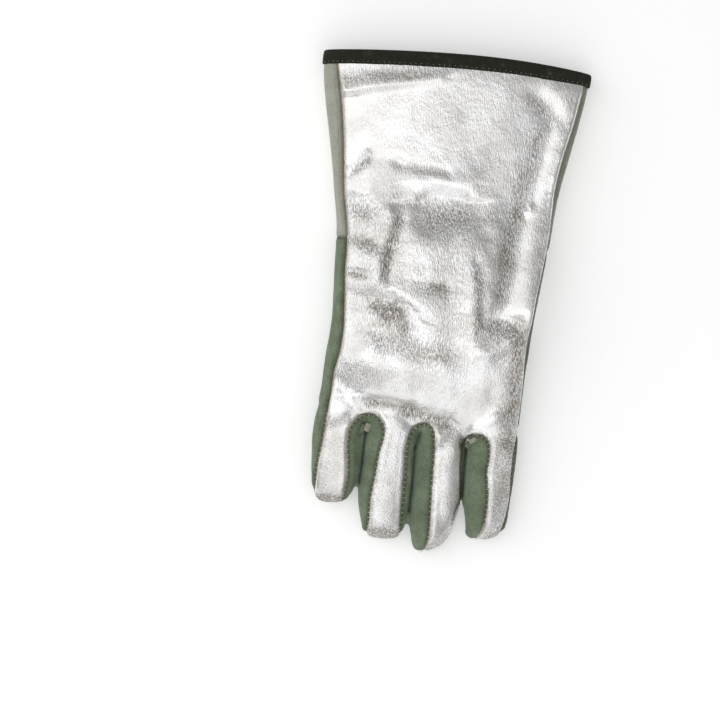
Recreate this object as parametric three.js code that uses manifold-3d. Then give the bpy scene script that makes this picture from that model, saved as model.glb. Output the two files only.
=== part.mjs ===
// Right-hand gauntlet glove with an aluminized back, lying on its palm.
// Millimetres. +X is the thumb side, +Y runs to the cuff, and +Z points up from the surface it lies on.
import * as THREE from "three";
import { mergeVertices } from "three/addons/utils/BufferGeometryUtils.js";
import Module from "manifold-3d";

const wasm = await Module();
wasm.setup();

// Driving dimensions
const WALL = 2.2;
const GAP = 0.3;
const WELT_PROUD = 0.8;
const WELT_WIDTH = 2.6;
const WELT_DEPTH = 1.2;
const BINDING_WIDTH = 10;
const BINDING_TAPE = 1.1;
const MOUTH_Y = 174.6;
const MOUTH_BOW_THUMB_SIDE = 6.6;
const MOUTH_BOW_LITTLE_SIDE = 3;
const CUFF_SEAM_Y = 39;
const FAR = 260;
const LOW = -10;
const HIGH = 90;

// Hand and cuff: edges of the flat outline, height of both edges, highest and lowest point between them
const BODY = [
  { y: MOUTH_Y, left: -93.2, right: 94, leftZ: 16, rightZ: 16, top: 31, bottom: 1.7 },
  { y: 160, left: -94.4, right: 92.6, leftZ: 16, rightZ: 16, top: 32, bottom: 1.6 },
  { y: 136, left: -92, right: 89.5, leftZ: 15, rightZ: 15, top: 32.5, bottom: -0.6 },
  { y: 108, left: -87, right: 84, leftZ: 15, rightZ: 16, top: 33, bottom: -0.6 },
  { y: 80, left: -82.4, right: 78.4, leftZ: 15, rightZ: 17, top: 34, bottom: -0.6 },
  { y: 50, left: -78, right: 75, leftZ: 15, rightZ: 19, top: 36.5, bottom: -0.6 },
  { y: 20, left: -76.5, right: 71, leftZ: 15, rightZ: 25, top: 41, bottom: -0.6 },
  { y: -10, left: -76.5, right: 67.3, leftZ: 15, rightZ: 30, top: 43.5, bottom: -0.6 },
  { y: -40, left: -78.3, right: 64.2, leftZ: 15, rightZ: 30, top: 42.5, bottom: 0.5 },
  { y: -65, left: -79.5, right: 63.3, leftZ: 16, rightZ: 25, top: 38, bottom: 3 },
  { y: -80, left: -80.5, right: 62, leftZ: 17, rightZ: 22, top: 34, bottom: 5.5 },
  { y: -87, left: -78, right: 58, leftZ: 19, rightZ: 21, top: 29, bottom: 10 },
  { y: -90, left: -76, right: 54, leftZ: 20, rightZ: 20, top: 23, bottom: 16 },
];

// Seams of the back along both sides of hand and outer fingers, with the height of the thumb-side seam
const SIDE_SEAMS = [
  { y: 200, left: -88, right: 92, rightZ: 21, floorZ: 15 },
  { y: 165, left: -85.8, right: 89, rightZ: 21, floorZ: 15 },
  { y: 108, left: -77.7, right: 79.6, rightZ: 22, floorZ: 15 },
  { y: 50, left: -71.2, right: 73, rightZ: 24, floorZ: 16 },
  { y: 20, left: -69.5, right: 69, rightZ: 30, floorZ: 18 },
  { y: -10, left: -68.4, right: 65, rightZ: 35, floorZ: 20 },
  { y: -40, left: -68.8, right: 62, rightZ: 35, floorZ: 20 },
  { y: -90, left: -75.3, right: 60.8, rightZ: 25, floorZ: 19 },
  { y: -150, left: -80, right: 59.4, rightZ: 16, floorZ: 13 },
  { y: -200, left: -80, right: 57, rightZ: 15, floorZ: 12 },
];

// Fingers as tubes: axis at root and tip in plan, tip of the finger, then width, height of axis, thickness
const FINGERS = [
  { rootX: -64.6, tipX: -66.6, tipY: -150, rootW: 36, tipW: 31, rootZ: 19, tipZ: 12, rootH: 27, tipH: 24 },
  { rootX: -28, tipX: -29.4, tipY: -172.5, rootW: 35, tipW: 35, rootZ: 20, tipZ: 12, rootH: 28, tipH: 24.5 },
  { rootX: 8.2, tipX: 7, tipY: -179.8, rootW: 34, tipW: 32, rootZ: 20, tipZ: 12.2, rootH: 28, tipH: 25 },
  { rootX: 44.4, tipX: 45.4, tipY: -169, rootW: 35.4, tipW: 33, rootZ: 20, tipZ: 12, rootH: 28, tipH: 24.5 },
];
const FINGER_ROOT_Y = -64;
const ROOT_TUCK = 0.7;
const ROOT_TUCK_LENGTH = 22;

// Aluminized finger strips as seen from above: both seams at the crotch and at the tip
const BACK_STRIPS = [
  { left: -75.3, leftTip: -80, right: -57.4, rightTip: -58.2, endY: -160, crotchX: -44.6, crotchY: -85.1 },
  { left: -33.6, leftTip: -39.6, right: -14.9, rightTip: -15.2, endY: -185, crotchX: -3.6, crotchY: -88.4 },
  { left: 3.2, leftTip: 3, right: 26, rightTip: 26, endY: -190, crotchX: 35.6, crotchY: -93.5 },
  { left: 43.2, leftTip: 42, right: 120, rightTip: 120, endY: -180 },
];
// Leather finger fronts as seen from above, on the underside
const FRONT_STRIPS = [
  { left: -120, leftTip: -120, right: -53, rightTip: -55, endY: -160, crotchX: -46.4, crotchY: -90.5 },
  { left: -40, leftTip: -41, right: -16, rightTip: -18, endY: -185, crotchX: -9.6, crotchY: -91 },
  { left: -3.5, leftTip: -5, right: 20.5, rightTip: 18, endY: -190, crotchX: 26.6, crotchY: -91.5 },
  { left: 33, leftTip: 34, right: 120, rightTip: 120, endY: -180 },
];
const STRIP_ROOT_Y = -103;
const LITTLE_CREASE = { x: -47.5, y: -85 };
const INDEX_CREASE = { x: 25.5, y: -91 };

// Thumb folded under the palm: both edges of its outline from the side seam to the tip, and its upper side
const THUMB = [
  { nearX: 69.5, nearY: 22, farX: 68, farY: -8, top: 22, waist: 13, bottom: 5 },
  { nearX: 68, nearY: 31, farX: 66, farY: -17, top: 27, waist: 13, bottom: 1.5 },
  { nearX: 62, nearY: 36, farX: 60, farY: -24, top: 29, waist: 12, bottom: -0.6 },
  { nearX: 50, nearY: 34, farX: 50, farY: -29, top: 26, waist: 10, bottom: -0.6 },
  { nearX: 34, nearY: 29, farX: 37, farY: -35, top: 17.5, waist: 8.5, bottom: -0.6 },
  { nearX: 12, nearY: 19, farX: 22, farY: -43.6, top: 16.5, waist: 8, bottom: -0.6 },
  { nearX: -6, nearY: 1, farX: 9.3, farY: -53, top: 16.5, waist: 8, bottom: -0.6 },
  { nearX: -18, nearY: -14, farX: -3, farY: -58, top: 16, waist: 8, bottom: -0.6 },
  { nearX: -26, nearY: -27, farX: -14, farY: -58.6, top: 14.5, waist: 7.6, bottom: -0.6 },
  { nearX: -30, nearY: -36, farX: -22, farY: -55.5, top: 12, waist: 7, bottom: 1 },
  { nearX: -31, nearY: -42, farX: -27.5, farY: -50, top: 9.4, waist: 6.6, bottom: 3.6 },
];
const THUMB_WELT_LOW = 6.6;
const SIDE_WELT_END_Y = -52;
const INDEX_WELT_Y = -158;
const FINGER_WELT_TOP = 13;
const THUMB_FREE_X = 40;
const ROOT_TOP_Z = 20;
const THUMB_AXIS = new THREE.Vector2(-0.9, -0.44);
const THUMB_FOOT = { x1: 38, y1: -8, x2: -12, y2: -38, reach: 22, slope: 17, height: 20.2 };

// Welt across the palm at the base of the middle and ring fingers
const FINGER_WELT = [
  { x: -46, y: -92 },
  { x: -41, y: -86 },
  { x: -28, y: -83 },
  { x: 8, y: -83 },
  { x: 20, y: -86 },
  { x: 24.5, y: -91 },
];

// Short leather ends in the crotches: where each starts, its size, its lean and its turn in plan
const CROTCH_TABS = [
  { name: "crotch_tab_little_ring", x: -43.6, y: -84, z: 27, length: 13, thickness: 1.5, tilt: 14, turn: -6 },
  { name: "crotch_tab_middle_index", x: 32.4, y: -90, z: 27.4, length: 9, thickness: 2.4, tilt: 3, turn: 4 },
];
const TAB_WIDTH = 5;
const TAB_TAPER = 0.4;

// Folds of the back: a line from (x1, y1) to (x2, y2), its width, and how far it stands up or sinks
const FOLDS = [
  { x1: -76, y1: 144, x2: -12, y2: 158, width: 7, rise: 1.8 },
  { x1: -70, y1: 87, x2: -55, y2: 103, width: 8, rise: -2 },
  { x1: -55, y1: 103, x2: -2, y2: 90, width: 9, rise: -2.2 },
  { x1: -60, y1: 115, x2: 0, y2: 103, width: 10, rise: 1.6 },
  { x1: 60, y1: 128, x2: 76, y2: 148, width: 9, rise: -1.8 },
  { x1: -24, y1: 70, x2: 24, y2: 73, width: 8, rise: 1.8 },
  { x1: -20, y1: 56, x2: 20, y2: 58, width: 11, rise: -2.4 },
  { x1: -36, y1: 58, x2: -44, y2: 10, width: 7, rise: -1.8 },
  { x1: 54, y1: 116, x2: 43, y2: 0, width: 9, rise: -2 },
  { x1: 66, y1: 112, x2: 54, y2: 0, width: 7, rise: 1.4 },
  { x1: 28, y1: -12, x2: 60, y2: -18, width: 9, rise: -2.2 },
  { x1: 40, y1: -32, x2: 66, y2: -18, width: 6, rise: 1.6 },
  { x1: -22, y1: -44, x2: 14, y2: -42, width: 9, rise: -1.8 },
  { x1: -70, y1: -62, x2: -44, y2: -75, width: 7, rise: -2.2 },
  { x1: -44, y1: -75, x2: 8, y2: -84, width: 7, rise: -2.2 },
];

// Mesh and solid helpers
function solidOf(geometry) {
  const plain = geometry.clone();
  plain.deleteAttribute("normal");
  plain.deleteAttribute("uv");
  const merged = mergeVertices(plain, 1e-4);
  const triVerts = new Uint32Array(merged.index.array);
  const vertProperties = new Float32Array(merged.attributes.position.array);
  return new wasm.Manifold(new wasm.Mesh({ numProp: 3, vertProperties, triVerts }));
}

function geometryOf(solid) {
  const mesh = solid.getMesh();
  const geometry = new THREE.BufferGeometry();
  geometry.setAttribute("position", new THREE.BufferAttribute(new Float32Array(mesh.vertProperties), 3));
  geometry.setIndex(new THREE.BufferAttribute(new Uint32Array(mesh.triVerts), 1));
  geometry.computeVertexNormals();
  return geometry;
}

function largestBody(solid) {
  const bodies = solid.decompose();
  return bodies.reduce((a, b) => (a.volume() > b.volume() ? a : b));
}

// Skin through rings of equally many points, closed at both ends
function loftGeometry(rings) {
  const count = rings[0].length;
  const points = rings.flat();
  const faces = [];
  for (let i = 0; i + 1 < rings.length; i++) {
    for (let j = 0; j < count; j++) {
      const a = i * count + j;
      const b = i * count + ((j + 1) % count);
      faces.push(a, b, a + count, b, b + count, a + count);
    }
  }
  for (const end of [0, rings.length - 1]) {
    const middle = new THREE.Vector3();
    rings[end].forEach((point) => middle.addScaledVector(point, 1 / count));
    points.push(middle);
    for (let j = 0; j < count; j++) {
      const a = end * count + j;
      const b = end * count + ((j + 1) % count);
      if (end === 0) faces.push(b, a, points.length - 1);
      else faces.push(a, b, points.length - 1);
    }
  }
  const geometry = new THREE.BufferGeometry().setFromPoints(points);
  geometry.setIndex(faces);
  return geometry;
}

function loft(rings) {
  const solid = solidOf(loftGeometry(rings));
  if (solid.volume() > 0) return solid;
  return solidOf(loftGeometry(rings.map((ring) => [...ring].reverse())));
}

function box(x1, x2, y1, y2, z1, z2) {
  const geometry = new THREE.BoxGeometry(x2 - x1, y2 - y1, z2 - z1);
  geometry.translate((x1 + x2) / 2, (y1 + y2) / 2, (z1 + z2) / 2);
  return solidOf(geometry);
}

function upright(shape, z1, z2) {
  const options = { depth: z2 - z1, bevelEnabled: false, curveSegments: 4 };
  const geometry = new THREE.ExtrudeGeometry(shape, options);
  geometry.translate(0, 0, z1);
  return solidOf(geometry);
}

function join(solids) {
  return solids.reduce((a, b) => a.add(b));
}

// Smooth value of a table's column at y, for rows that run from high y to low y
function valueAt(table, column, y) {
  const last = table.length - 1;
  let i = table.findIndex((row) => row.y <= y) - 1;
  if (i < 0) i = y >= table[0].y ? 0 : last - 1;
  const before = table[Math.max(i - 1, 0)];
  const from = table[i];
  const to = table[i + 1];
  const after = table[Math.min(i + 2, last)];
  const t = THREE.MathUtils.clamp((y - from.y) / (to.y - from.y), 0, 1);
  const span = to.y - from.y;
  const slopeFrom = before === from ? 0 : (to[column] - before[column]) / (to.y - before.y);
  const slopeTo = after === to ? 0 : (after[column] - from[column]) / (after.y - from.y);
  const t2 = t * t;
  const t3 = t2 * t;
  return (
    (2 * t3 - 3 * t2 + 1) * from[column] +
    (t3 - 2 * t2 + t) * slopeFrom * span +
    (3 * t2 - 2 * t3) * to[column] +
    (t3 - t2) * slopeTo * span
  );
}

function signedPower(value, power) {
  return Math.sign(value) * Math.abs(value) ** power;
}

function distanceToLine(x, y, line) {
  const dx = line.x2 - line.x1;
  const dy = line.y2 - line.y1;
  const along = ((x - line.x1) * dx + (y - line.y1) * dy) / (dx * dx + dy * dy);
  const t = THREE.MathUtils.clamp(along, 0, 1);
  return Math.hypot(x - line.x1 - t * dx, y - line.y1 - t * dy);
}

function foldHeight(x, y) {
  return FOLDS.reduce((sum, fold) => {
    const off = distanceToLine(x, y, fold) / fold.width;
    return sum + fold.rise * Math.exp(-off * off);
  }, 0);
}

// The palm lies over the folded thumb, so its underside is raised there
function palmRaise(x, y) {
  const off = (distanceToLine(x, y, THUMB_FOOT) - THUMB_FOOT.reach) / THUMB_FOOT.slope;
  return THUMB_FOOT.height * (1 - THREE.MathUtils.smoothstep(off, 0, 1));
}

// The cuff's mouth is cut on a slight curve, which fades out halfway down the cuff
function mouthBow(x, y) {
  const bow = x > 0 ? MOUTH_BOW_THUMB_SIDE : MOUTH_BOW_LITTLE_SIDE;
  return bow * (x / 94) ** 2 * THREE.MathUtils.clamp((y - 60) / (MOUTH_Y - 60), 0, 1);
}

// Between the finger crotches the hand ends on a slant
function crotchSlant(x, y) {
  return -0.1 * (x + 44) * THREE.MathUtils.smoothstep(-y, 70, 88);
}

const POINTS_ON_BACK = 12;
const POINTS_ON_PALM = 8;
const CUFF_STATIONS = [MOUTH_Y, 162, 136, 102, 70, 42];
const HAND_STATIONS = [24, 6, -12, -28, -44, -60, -72, -80];
const NOSE_STATIONS = [-86, -90];

// One section of hand and cuff, smaller by inset all round, from the thumb side over the back to the palm
function bodyRing(y, inset) {
  const middle = (valueAt(BODY, "left", y) + valueAt(BODY, "right", y)) / 2;
  const half = (valueAt(BODY, "right", y) - valueAt(BODY, "left", y)) / 2;
  const leftZ = valueAt(BODY, "leftZ", y);
  const rightZ = valueAt(BODY, "rightZ", y);
  const ring = [];
  for (let i = 0; i < POINTS_ON_BACK + POINTS_ON_PALM; i++) {
    const past = Math.max(0, i - POINTS_ON_BACK);
    const angle = (Math.min(i, POINTS_ON_BACK) / POINTS_ON_BACK + past / POINTS_ON_PALM) * Math.PI;
    const across = signedPower(Math.cos(angle), 0.9);
    const up = Math.sin(angle);
    const plainX = middle + half * across;
    const edgeZ = THREE.MathUtils.lerp(leftZ, rightZ, (across + 1) / 2);
    let z = edgeZ;
    if (up > 0) {
      z += (valueAt(BODY, "top", y) - inset - edgeZ) * up ** 0.8;
      z += foldHeight(plainX, y) * Math.min(1, 2 * up);
    } else {
      const lying = edgeZ - (edgeZ - valueAt(BODY, "bottom", y) - inset) * (-up) ** 0.65;
      const limit = edgeZ + 4 * up + inset * Math.min(1, -2 * up);
      z = Math.max(lying, Math.min(palmRaise(plainX, y) + inset, limit));
    }
    const bentY = y - mouthBow(plainX, y) + crotchSlant(plainX, y);
    ring.push(new THREE.Vector3(middle + (half - inset) * across, bentY, z));
  }
  return ring;
}

function body(inset) {
  const nose = NOSE_STATIONS.map((y) => y + Math.max(0, inset));
  return loft([...CUFF_STATIONS, ...HAND_STATIONS, ...nose].map((y) => bodyRing(y, inset)));
}

const POINTS_ABOUT_FINGER = 10;
const FINGER_STEPS = 3;
const TIP_LENGTH = 15;

// A finger's axis and half sizes, at a share of its length from root to tip
function fingerAt(finger, share) {
  return {
    x: THREE.MathUtils.lerp(finger.rootX, finger.tipX, share),
    y: THREE.MathUtils.lerp(FINGER_ROOT_Y, finger.tipY, share),
    z: THREE.MathUtils.lerp(finger.rootZ, finger.tipZ, share ** 1.3),
    halfW: THREE.MathUtils.lerp(finger.rootW, finger.tipW, share) / 2,
    halfH: THREE.MathUtils.lerp(finger.rootH, finger.tipH, share) / 2,
  };
}

function fingerTube(finger, inset) {
  const length = FINGER_ROOT_Y - finger.tipY;
  const shares = [];
  for (let i = 0; i <= FINGER_STEPS; i++) {
    shares.push(((length - TIP_LENGTH) / length) * (i / FINGER_STEPS));
  }
  for (const part of [0.5, 0.8, 0.97]) {
    shares.push((length - TIP_LENGTH * (1 - part)) / length);
  }
  const rings = shares.map((share) => {
    const at = fingerAt(finger, share);
    const past = Math.max(0, (share * length - (length - TIP_LENGTH)) / TIP_LENGTH);
    const round = Math.sqrt(1 - past * past);
    const grown = THREE.MathUtils.smoothstep(share * length, 0, ROOT_TUCK_LENGTH);
    const tuck = THREE.MathUtils.lerp(ROOT_TUCK, 1, grown);
    const y = at.y + (past > 0 ? inset * past : 0);
    const ring = [];
    for (let i = 0; i < POINTS_ABOUT_FINGER; i++) {
      const angle = (i / POINTS_ABOUT_FINGER) * 2 * Math.PI;
      const across = signedPower(Math.cos(angle), 0.85);
      const up = signedPower(Math.sin(angle), 0.85);
      const x = at.x + (at.halfW * tuck - inset) * across * (0.35 + 0.65 * round);
      const z = at.z - 2 * past * past + (at.halfH * tuck - inset) * up * round;
      ring.push(new THREE.Vector3(x, y, z));
    }
    return ring;
  });
  return loft(rings);
}

const POINTS_ABOUT_THUMB = 10;

function thumbTube(inset) {
  const last = THUMB.length - 1;
  const rings = THUMB.map((row, i) => {
    const middle = new THREE.Vector2((row.nearX + row.farX) / 2, (row.nearY + row.farY) / 2);
    middle.addScaledVector(THUMB_AXIS, inset * (1 - (2 * i) / last));
    const half = new THREE.Vector2(row.farX - row.nearX, row.farY - row.nearY).multiplyScalar(0.5);
    half.multiplyScalar(Math.max(0.2, 1 - inset / half.length()));
    const ring = [];
    for (let j = 0; j < POINTS_ABOUT_THUMB; j++) {
      const angle = (j / POINTS_ABOUT_THUMB) * 2 * Math.PI;
      const across = Math.cos(angle);
      const up = signedPower(Math.sin(angle), 0.75);
      const reach = up > 0 ? row.top - row.waist - inset : row.waist - row.bottom - inset;
      const z = row.waist + Math.max(0.4, reach) * up;
      ring.push(new THREE.Vector3(middle.x + half.x * across, middle.y + half.y * across, z));
    }
    return ring;
  });
  return loft(rings);
}

// The whole glove as one plain form, smaller by inset all round
function gloveForm(inset) {
  return join([body(inset), thumbTube(inset), ...FINGERS.map((finger) => fingerTube(finger, inset))]);
}

// Hand and cuff's form at the mouth, drawn out to endY
function mouthTube(inset, endY) {
  return loft([endY, ...CUFF_STATIONS.slice(0, 3)].map((y) => bodyRing(y, inset)));
}

const underFloor = box(-FAR, FAR, -FAR, FAR, -40, 0);
const mouthHollow = mouthTube(WALL, MOUTH_Y + 20);
const shell = gloveForm(0).subtract(underFloor).subtract(gloveForm(WALL).add(mouthHollow));

// Plan of the strips that run along the fingers, joined by an arch at each crotch
function handPlan(strips, sideX, grow) {
  const plan = new THREE.Shape();
  plan.moveTo(sideX(200) - grow, 200);
  for (const { y } of SIDE_SEAMS.slice(1, 8)) {
    plan.lineTo(sideX(y) - grow, y);
  }
  strips.forEach((strip, i) => {
    const next = strips[i + 1];
    plan.lineTo(strip.leftTip - grow, strip.endY + 10);
    plan.lineTo(strip.leftTip - grow, strip.endY);
    plan.lineTo(strip.rightTip + grow, strip.endY);
    if (!next) return;
    plan.lineTo(strip.rightTip + grow, strip.endY + 10);
    plan.lineTo(strip.right + grow, STRIP_ROOT_Y);
    plan.quadraticCurveTo(strip.right + grow, strip.crotchY - grow, strip.crotchX, strip.crotchY - grow);
    plan.quadraticCurveTo(next.left - grow, strip.crotchY - grow, next.left - grow, STRIP_ROOT_Y);
  });
  plan.lineTo(120, 200);
  plan.closePath();
  return plan;
}

// Everything above the side seams: a sheet through the hollow that leaves the thumb side at the seam's height
function aboveSeams(grow) {
  const rings = SIDE_SEAMS.map((row) => {
    const inside = [-FAR, row.floorZ - grow];
    const turn = [row.right - 14, row.rightZ - 6 - grow];
    const outside = [row.right + 30, row.rightZ + 13 - grow];
    const corners = [inside, turn, outside, [row.right + 30, HIGH + 10], [-FAR, HIGH + 10]];
    return corners.map(([x, z]) => new THREE.Vector3(x, row.y, z));
  });
  return loft(rings);
}

function backRegion(grow) {
  const plan = handPlan(BACK_STRIPS, (y) => valueAt(SIDE_SEAMS, "left", y), grow);
  return upright(plan, 0, HIGH).intersect(aboveSeams(grow));
}

// Lower seams of the strips between fingers, a little under the finger's axis
function belowFrontSeams(grow) {
  const rings = [-60, -95, -130, -165, -200].map((y) => {
    const z = THREE.MathUtils.lerp(15, 7.5, (-60 - y) / 140) + grow;
    return [[-FAR, z], [FAR, z], [FAR, -50], [-FAR, -50]].map(([x, h]) => new THREE.Vector3(x, y, h));
  });
  return loft(rings);
}

function frontRegion(grow) {
  return upright(handPlan(FRONT_STRIPS, () => -120, grow), LOW, HIGH).intersect(belowFrontSeams(grow));
}

const fingerAxes = FINGERS.map((finger) => (finger.rootX + finger.tipX) / 2);

function fourchetteRegion(i, grow) {
  const [from, to] = [fingerAxes[i] + GAP / 2 - grow, fingerAxes[i + 1] - GAP / 2 + grow];
  const slab = box(from, to, -200, -76 + grow, LOW, HIGH);
  return slab.subtract(frontRegion(-grow));
}

// Plan of the aluminized side of the thumb: its outline, and the heel of the thumb up to the cuff's seam
function thumbPlan(grow) {
  const outline = [new THREE.Vector2(FAR, -24 - grow)];
  for (const row of THUMB.slice(2)) {
    outline.push(new THREE.Vector2(row.farX, row.farY - 3 - grow));
  }
  outline.push(new THREE.Vector2(-36 - grow, -46));
  for (const row of THUMB.slice(5).reverse()) {
    outline.push(new THREE.Vector2(row.nearX - 2 - grow, row.nearY + 2 + grow));
  }
  outline.push(new THREE.Vector2(22 - grow, FAR), new THREE.Vector2(FAR, FAR));
  return new THREE.Shape(outline);
}

// Everything beyond a line across the cuff that follows the mouth's curve
function beyond(depth) {
  const rings = [];
  for (let x = -120; x <= 120; x += 40) {
    const y = MOUTH_Y + GAP + BINDING_TAPE - depth - mouthBow(x, MOUTH_Y);
    const corners = [[y, LOW], [FAR, LOW], [FAR, HIGH], [y, HIGH]];
    rings.push(corners.map(([v, z]) => new THREE.Vector3(x, v, z)));
  }
  return loft(rings);
}

const proudForm = gloveForm(-WELT_PROUD).subtract(underFloor);
const weltShell = proudForm.subtract(gloveForm(WELT_DEPTH).add(mouthHollow));

// Bands that hold the welts: along the thumb side, round the index tip and the thumb, and across the palm
function sideBand(grow) {
  const half = WELT_WIDTH / 2 + grow;
  const band = aboveSeams(half).subtract(aboveSeams(-half));
  return band.intersect(box(40, 130, SIDE_WELT_END_Y - grow, 200, 0, HIGH));
}

function indexTipBand(grow) {
  const half = WELT_WIDTH / 2 + grow;
  const band = aboveSeams(half).subtract(aboveSeams(-half));
  return band.intersect(box(26, 90, -200, INDEX_WELT_Y + grow, 0, HIGH));
}

function thumbBand(grow) {
  const low = THUMB_WELT_LOW - grow;
  const high = THUMB_WELT_LOW + WELT_WIDTH + grow;
  return thumbTube(-WELT_PROUD - 0.2 - grow).intersect(box(-60, 58 + grow, -80, 40, low, high));
}

function palmBand(grow) {
  const half = WELT_WIDTH / 2 + grow;
  const upper = FINGER_WELT.map((point) => new THREE.Vector2(point.x, point.y + half));
  const lower = FINGER_WELT.map((point) => new THREE.Vector2(point.x, point.y - half));
  for (const side of [upper, lower]) {
    side[0].add({ x: -grow, y: -grow });
    side[side.length - 1].add({ x: grow, y: -grow });
  }
  return upright(new THREE.Shape([...upper, ...lower.reverse()]), LOW, FINGER_WELT_TOP + 2 + grow);
}

const bands = [sideBand, indexTipBand, thumbBand, palmBand];
const panels = shell.subtract(join(bands.map((band) => band(GAP))));
const solids = {};

// Aluminized back with its finger strips
solids.back_shell = panels.intersect(backRegion(0));
const leather = panels.subtract(backRegion(GAP));

// Leather between the fingers
const fourchettes = ["fourchette_little_ring", "fourchette_ring_middle", "fourchette_middle_index"];
fourchettes.forEach((name, i) => {
  solids[name] = leather.intersect(fourchetteRegion(i, 0));
});
const fronts = fourchettes.reduce((rest, name, i) => rest.subtract(fourchetteRegion(i, GAP)), leather);

// Cuff front, and the regions that divide the palm from thumb and middle fingers
solids.cuff_leather = fronts.intersect(box(-FAR, FAR, CUFF_SEAM_Y + GAP, FAR, LOW, HIGH));
const palmSide = fronts.intersect(box(-FAR, FAR, -FAR, CUFF_SEAM_Y, LOW, HIGH));
const thumbSeamZ = THUMB_WELT_LOW + WELT_WIDTH / 2;

function thumbBackRegion(grow) {
  return upright(thumbPlan(grow), LOW, thumbSeamZ + grow);
}

function thumbFrontRegion(grow) {
  const limits = box(-60, THUMB_FREE_X + grow, -80, 60, thumbSeamZ - grow, 40);
  return thumbTube(-1 - grow).intersect(limits);
}

// Sides of the thumb's root, from the free thumb to the side seam
function thumbRootRegion(grow) {
  const limits = box(THUMB_FREE_X - grow, 130, -80, 60, thumbSeamZ - grow, ROOT_TOP_Z + grow);
  return thumbTube(-1 - grow).intersect(limits);
}

function middleRingRegion(grow) {
  const outline = FINGER_WELT.map(({ x, y }) => new THREE.Vector2(x, y));
  outline.push(new THREE.Vector2(FAR, -300), new THREE.Vector2(-FAR, -300));
  const belowWelt = upright(new THREE.Shape(outline), LOW, HIGH);
  return belowWelt.intersect(box(-46.5 - grow, 26.5 + grow, -200, -78, LOW, HIGH));
}

solids.thumb_back = palmSide.intersect(thumbBackRegion(0));
solids.thumb_front = palmSide.intersect(thumbFrontRegion(0));
solids.middle_ring_front = palmSide.intersect(middleRingRegion(0));
const besideRoot = thumbBackRegion(GAP).add(thumbFrontRegion(GAP));
solids.thumb_root = palmSide.intersect(thumbRootRegion(0)).subtract(besideRoot);
const besidePalm = [thumbBackRegion, thumbFrontRegion, thumbRootRegion, middleRingRegion];
const palmAndFronts = palmSide.subtract(join(besidePalm.map((region) => region(GAP))));

// The palm's leather bends at the crease under the little finger and under the index finger
function littleRegion(grow) {
  return box(-FAR, LITTLE_CREASE.x + grow, -FAR, LITTLE_CREASE.y + grow, LOW, HIGH);
}

function indexRegion(grow) {
  return box(INDEX_CREASE.x - grow, FAR, -FAR, INDEX_CREASE.y + grow, LOW, HIGH);
}

solids.little_front = palmAndFronts.intersect(littleRegion(0));
solids.index_front = palmAndFronts.intersect(indexRegion(0));
solids.palm_leather = palmAndFronts.subtract(littleRegion(GAP)).subtract(indexRegion(GAP));

// Welts, a little proud of the panels they are sewn between
solids.side_welt = weltShell.intersect(sideBand(0)).subtract(beyond(BINDING_WIDTH + GAP));
solids.index_tip_welt = weltShell.intersect(indexTipBand(0));
solids.thumb_welt = weltShell.intersect(thumbBand(0));
const underFingers = box(-FAR, FAR, -FAR, FAR, LOW, FINGER_WELT_TOP);
solids.finger_welt = weltShell.intersect(palmBand(0)).intersect(underFingers);

// Tape binding folded over the mouth of the cuff
const tapeOutside = mouthTube(-GAP - BINDING_TAPE, MOUTH_Y + GAP + BINDING_TAPE);
const tapeInside = mouthTube(WALL + GAP + BINDING_TAPE, MOUTH_Y + 20);
const cuffEnd = mouthTube(-GAP, MOUTH_Y + GAP).subtract(mouthTube(WALL + GAP, MOUTH_Y + 18));
solids.cuff_binding = tapeOutside.subtract(tapeInside).subtract(cuffEnd).intersect(beyond(BINDING_WIDTH));

// Short leather ends that show in two finger crotches
const cleared = gloveForm(-GAP);
for (const tab of CROTCH_TABS) {
  const outline = new THREE.Shape();
  outline.moveTo(-TAB_WIDTH / 2, 0);
  outline.lineTo(TAB_WIDTH / 2, 0);
  outline.lineTo(TAB_WIDTH / 2 - TAB_TAPER, -tab.length);
  outline.lineTo(-TAB_WIDTH / 2 + TAB_TAPER, -tab.length);
  const tongue = new THREE.ExtrudeGeometry(outline, { depth: tab.thickness, bevelEnabled: false });
  tongue.rotateX(THREE.MathUtils.degToRad(tab.tilt));
  tongue.rotateZ(THREE.MathUtils.degToRad(tab.turn));
  tongue.translate(tab.x, tab.y, tab.z);
  solids[tab.name] = solidOf(tongue).subtract(cleared);
}

// Finishes, and which piece has which
const FINISHES = {
  aluminized: { color: 0xd9dadb, roughness: 0.32, metalness: 0.9 },
  greenSuede: { color: 0x69796a, roughness: 0.95, metalness: 0 },
  greySuede: { color: 0xa9aaa0, roughness: 0.95, metalness: 0 },
  tape: { color: 0x25251d, roughness: 0.85, metalness: 0 },
};
const FINISH_OF = {
  back_shell: "aluminized",
  thumb_back: "aluminized",
  palm_leather: "greenSuede",
  little_front: "greenSuede",
  index_front: "greenSuede",
  middle_ring_front: "greenSuede",
  thumb_front: "greenSuede",
  thumb_root: "greenSuede",
  fourchette_little_ring: "greenSuede",
  fourchette_ring_middle: "greenSuede",
  fourchette_middle_index: "greenSuede",
  cuff_binding: "tape",
};

const glove = new THREE.Group();
for (const [name, solid] of Object.entries(solids)) {
  const material = new THREE.MeshStandardMaterial(FINISHES[FINISH_OF[name] ?? "greySuede"]);
  const mesh = new THREE.Mesh(geometryOf(largestBody(solid)), material);
  mesh.name = name;
  glove.add(mesh);
}
const bounds = new THREE.Box3().setFromObject(glove);
const centre = bounds.getCenter(new THREE.Vector3());
glove.position.set(-centre.x, -centre.y, -bounds.min.z);
export default glove;
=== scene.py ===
import math

import bmesh
import bpy
import numpy as np
from mathutils import Matrix, Vector, noise
from mathutils.bvhtree import BVHTree
from mathutils.kdtree import KDTree


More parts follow.
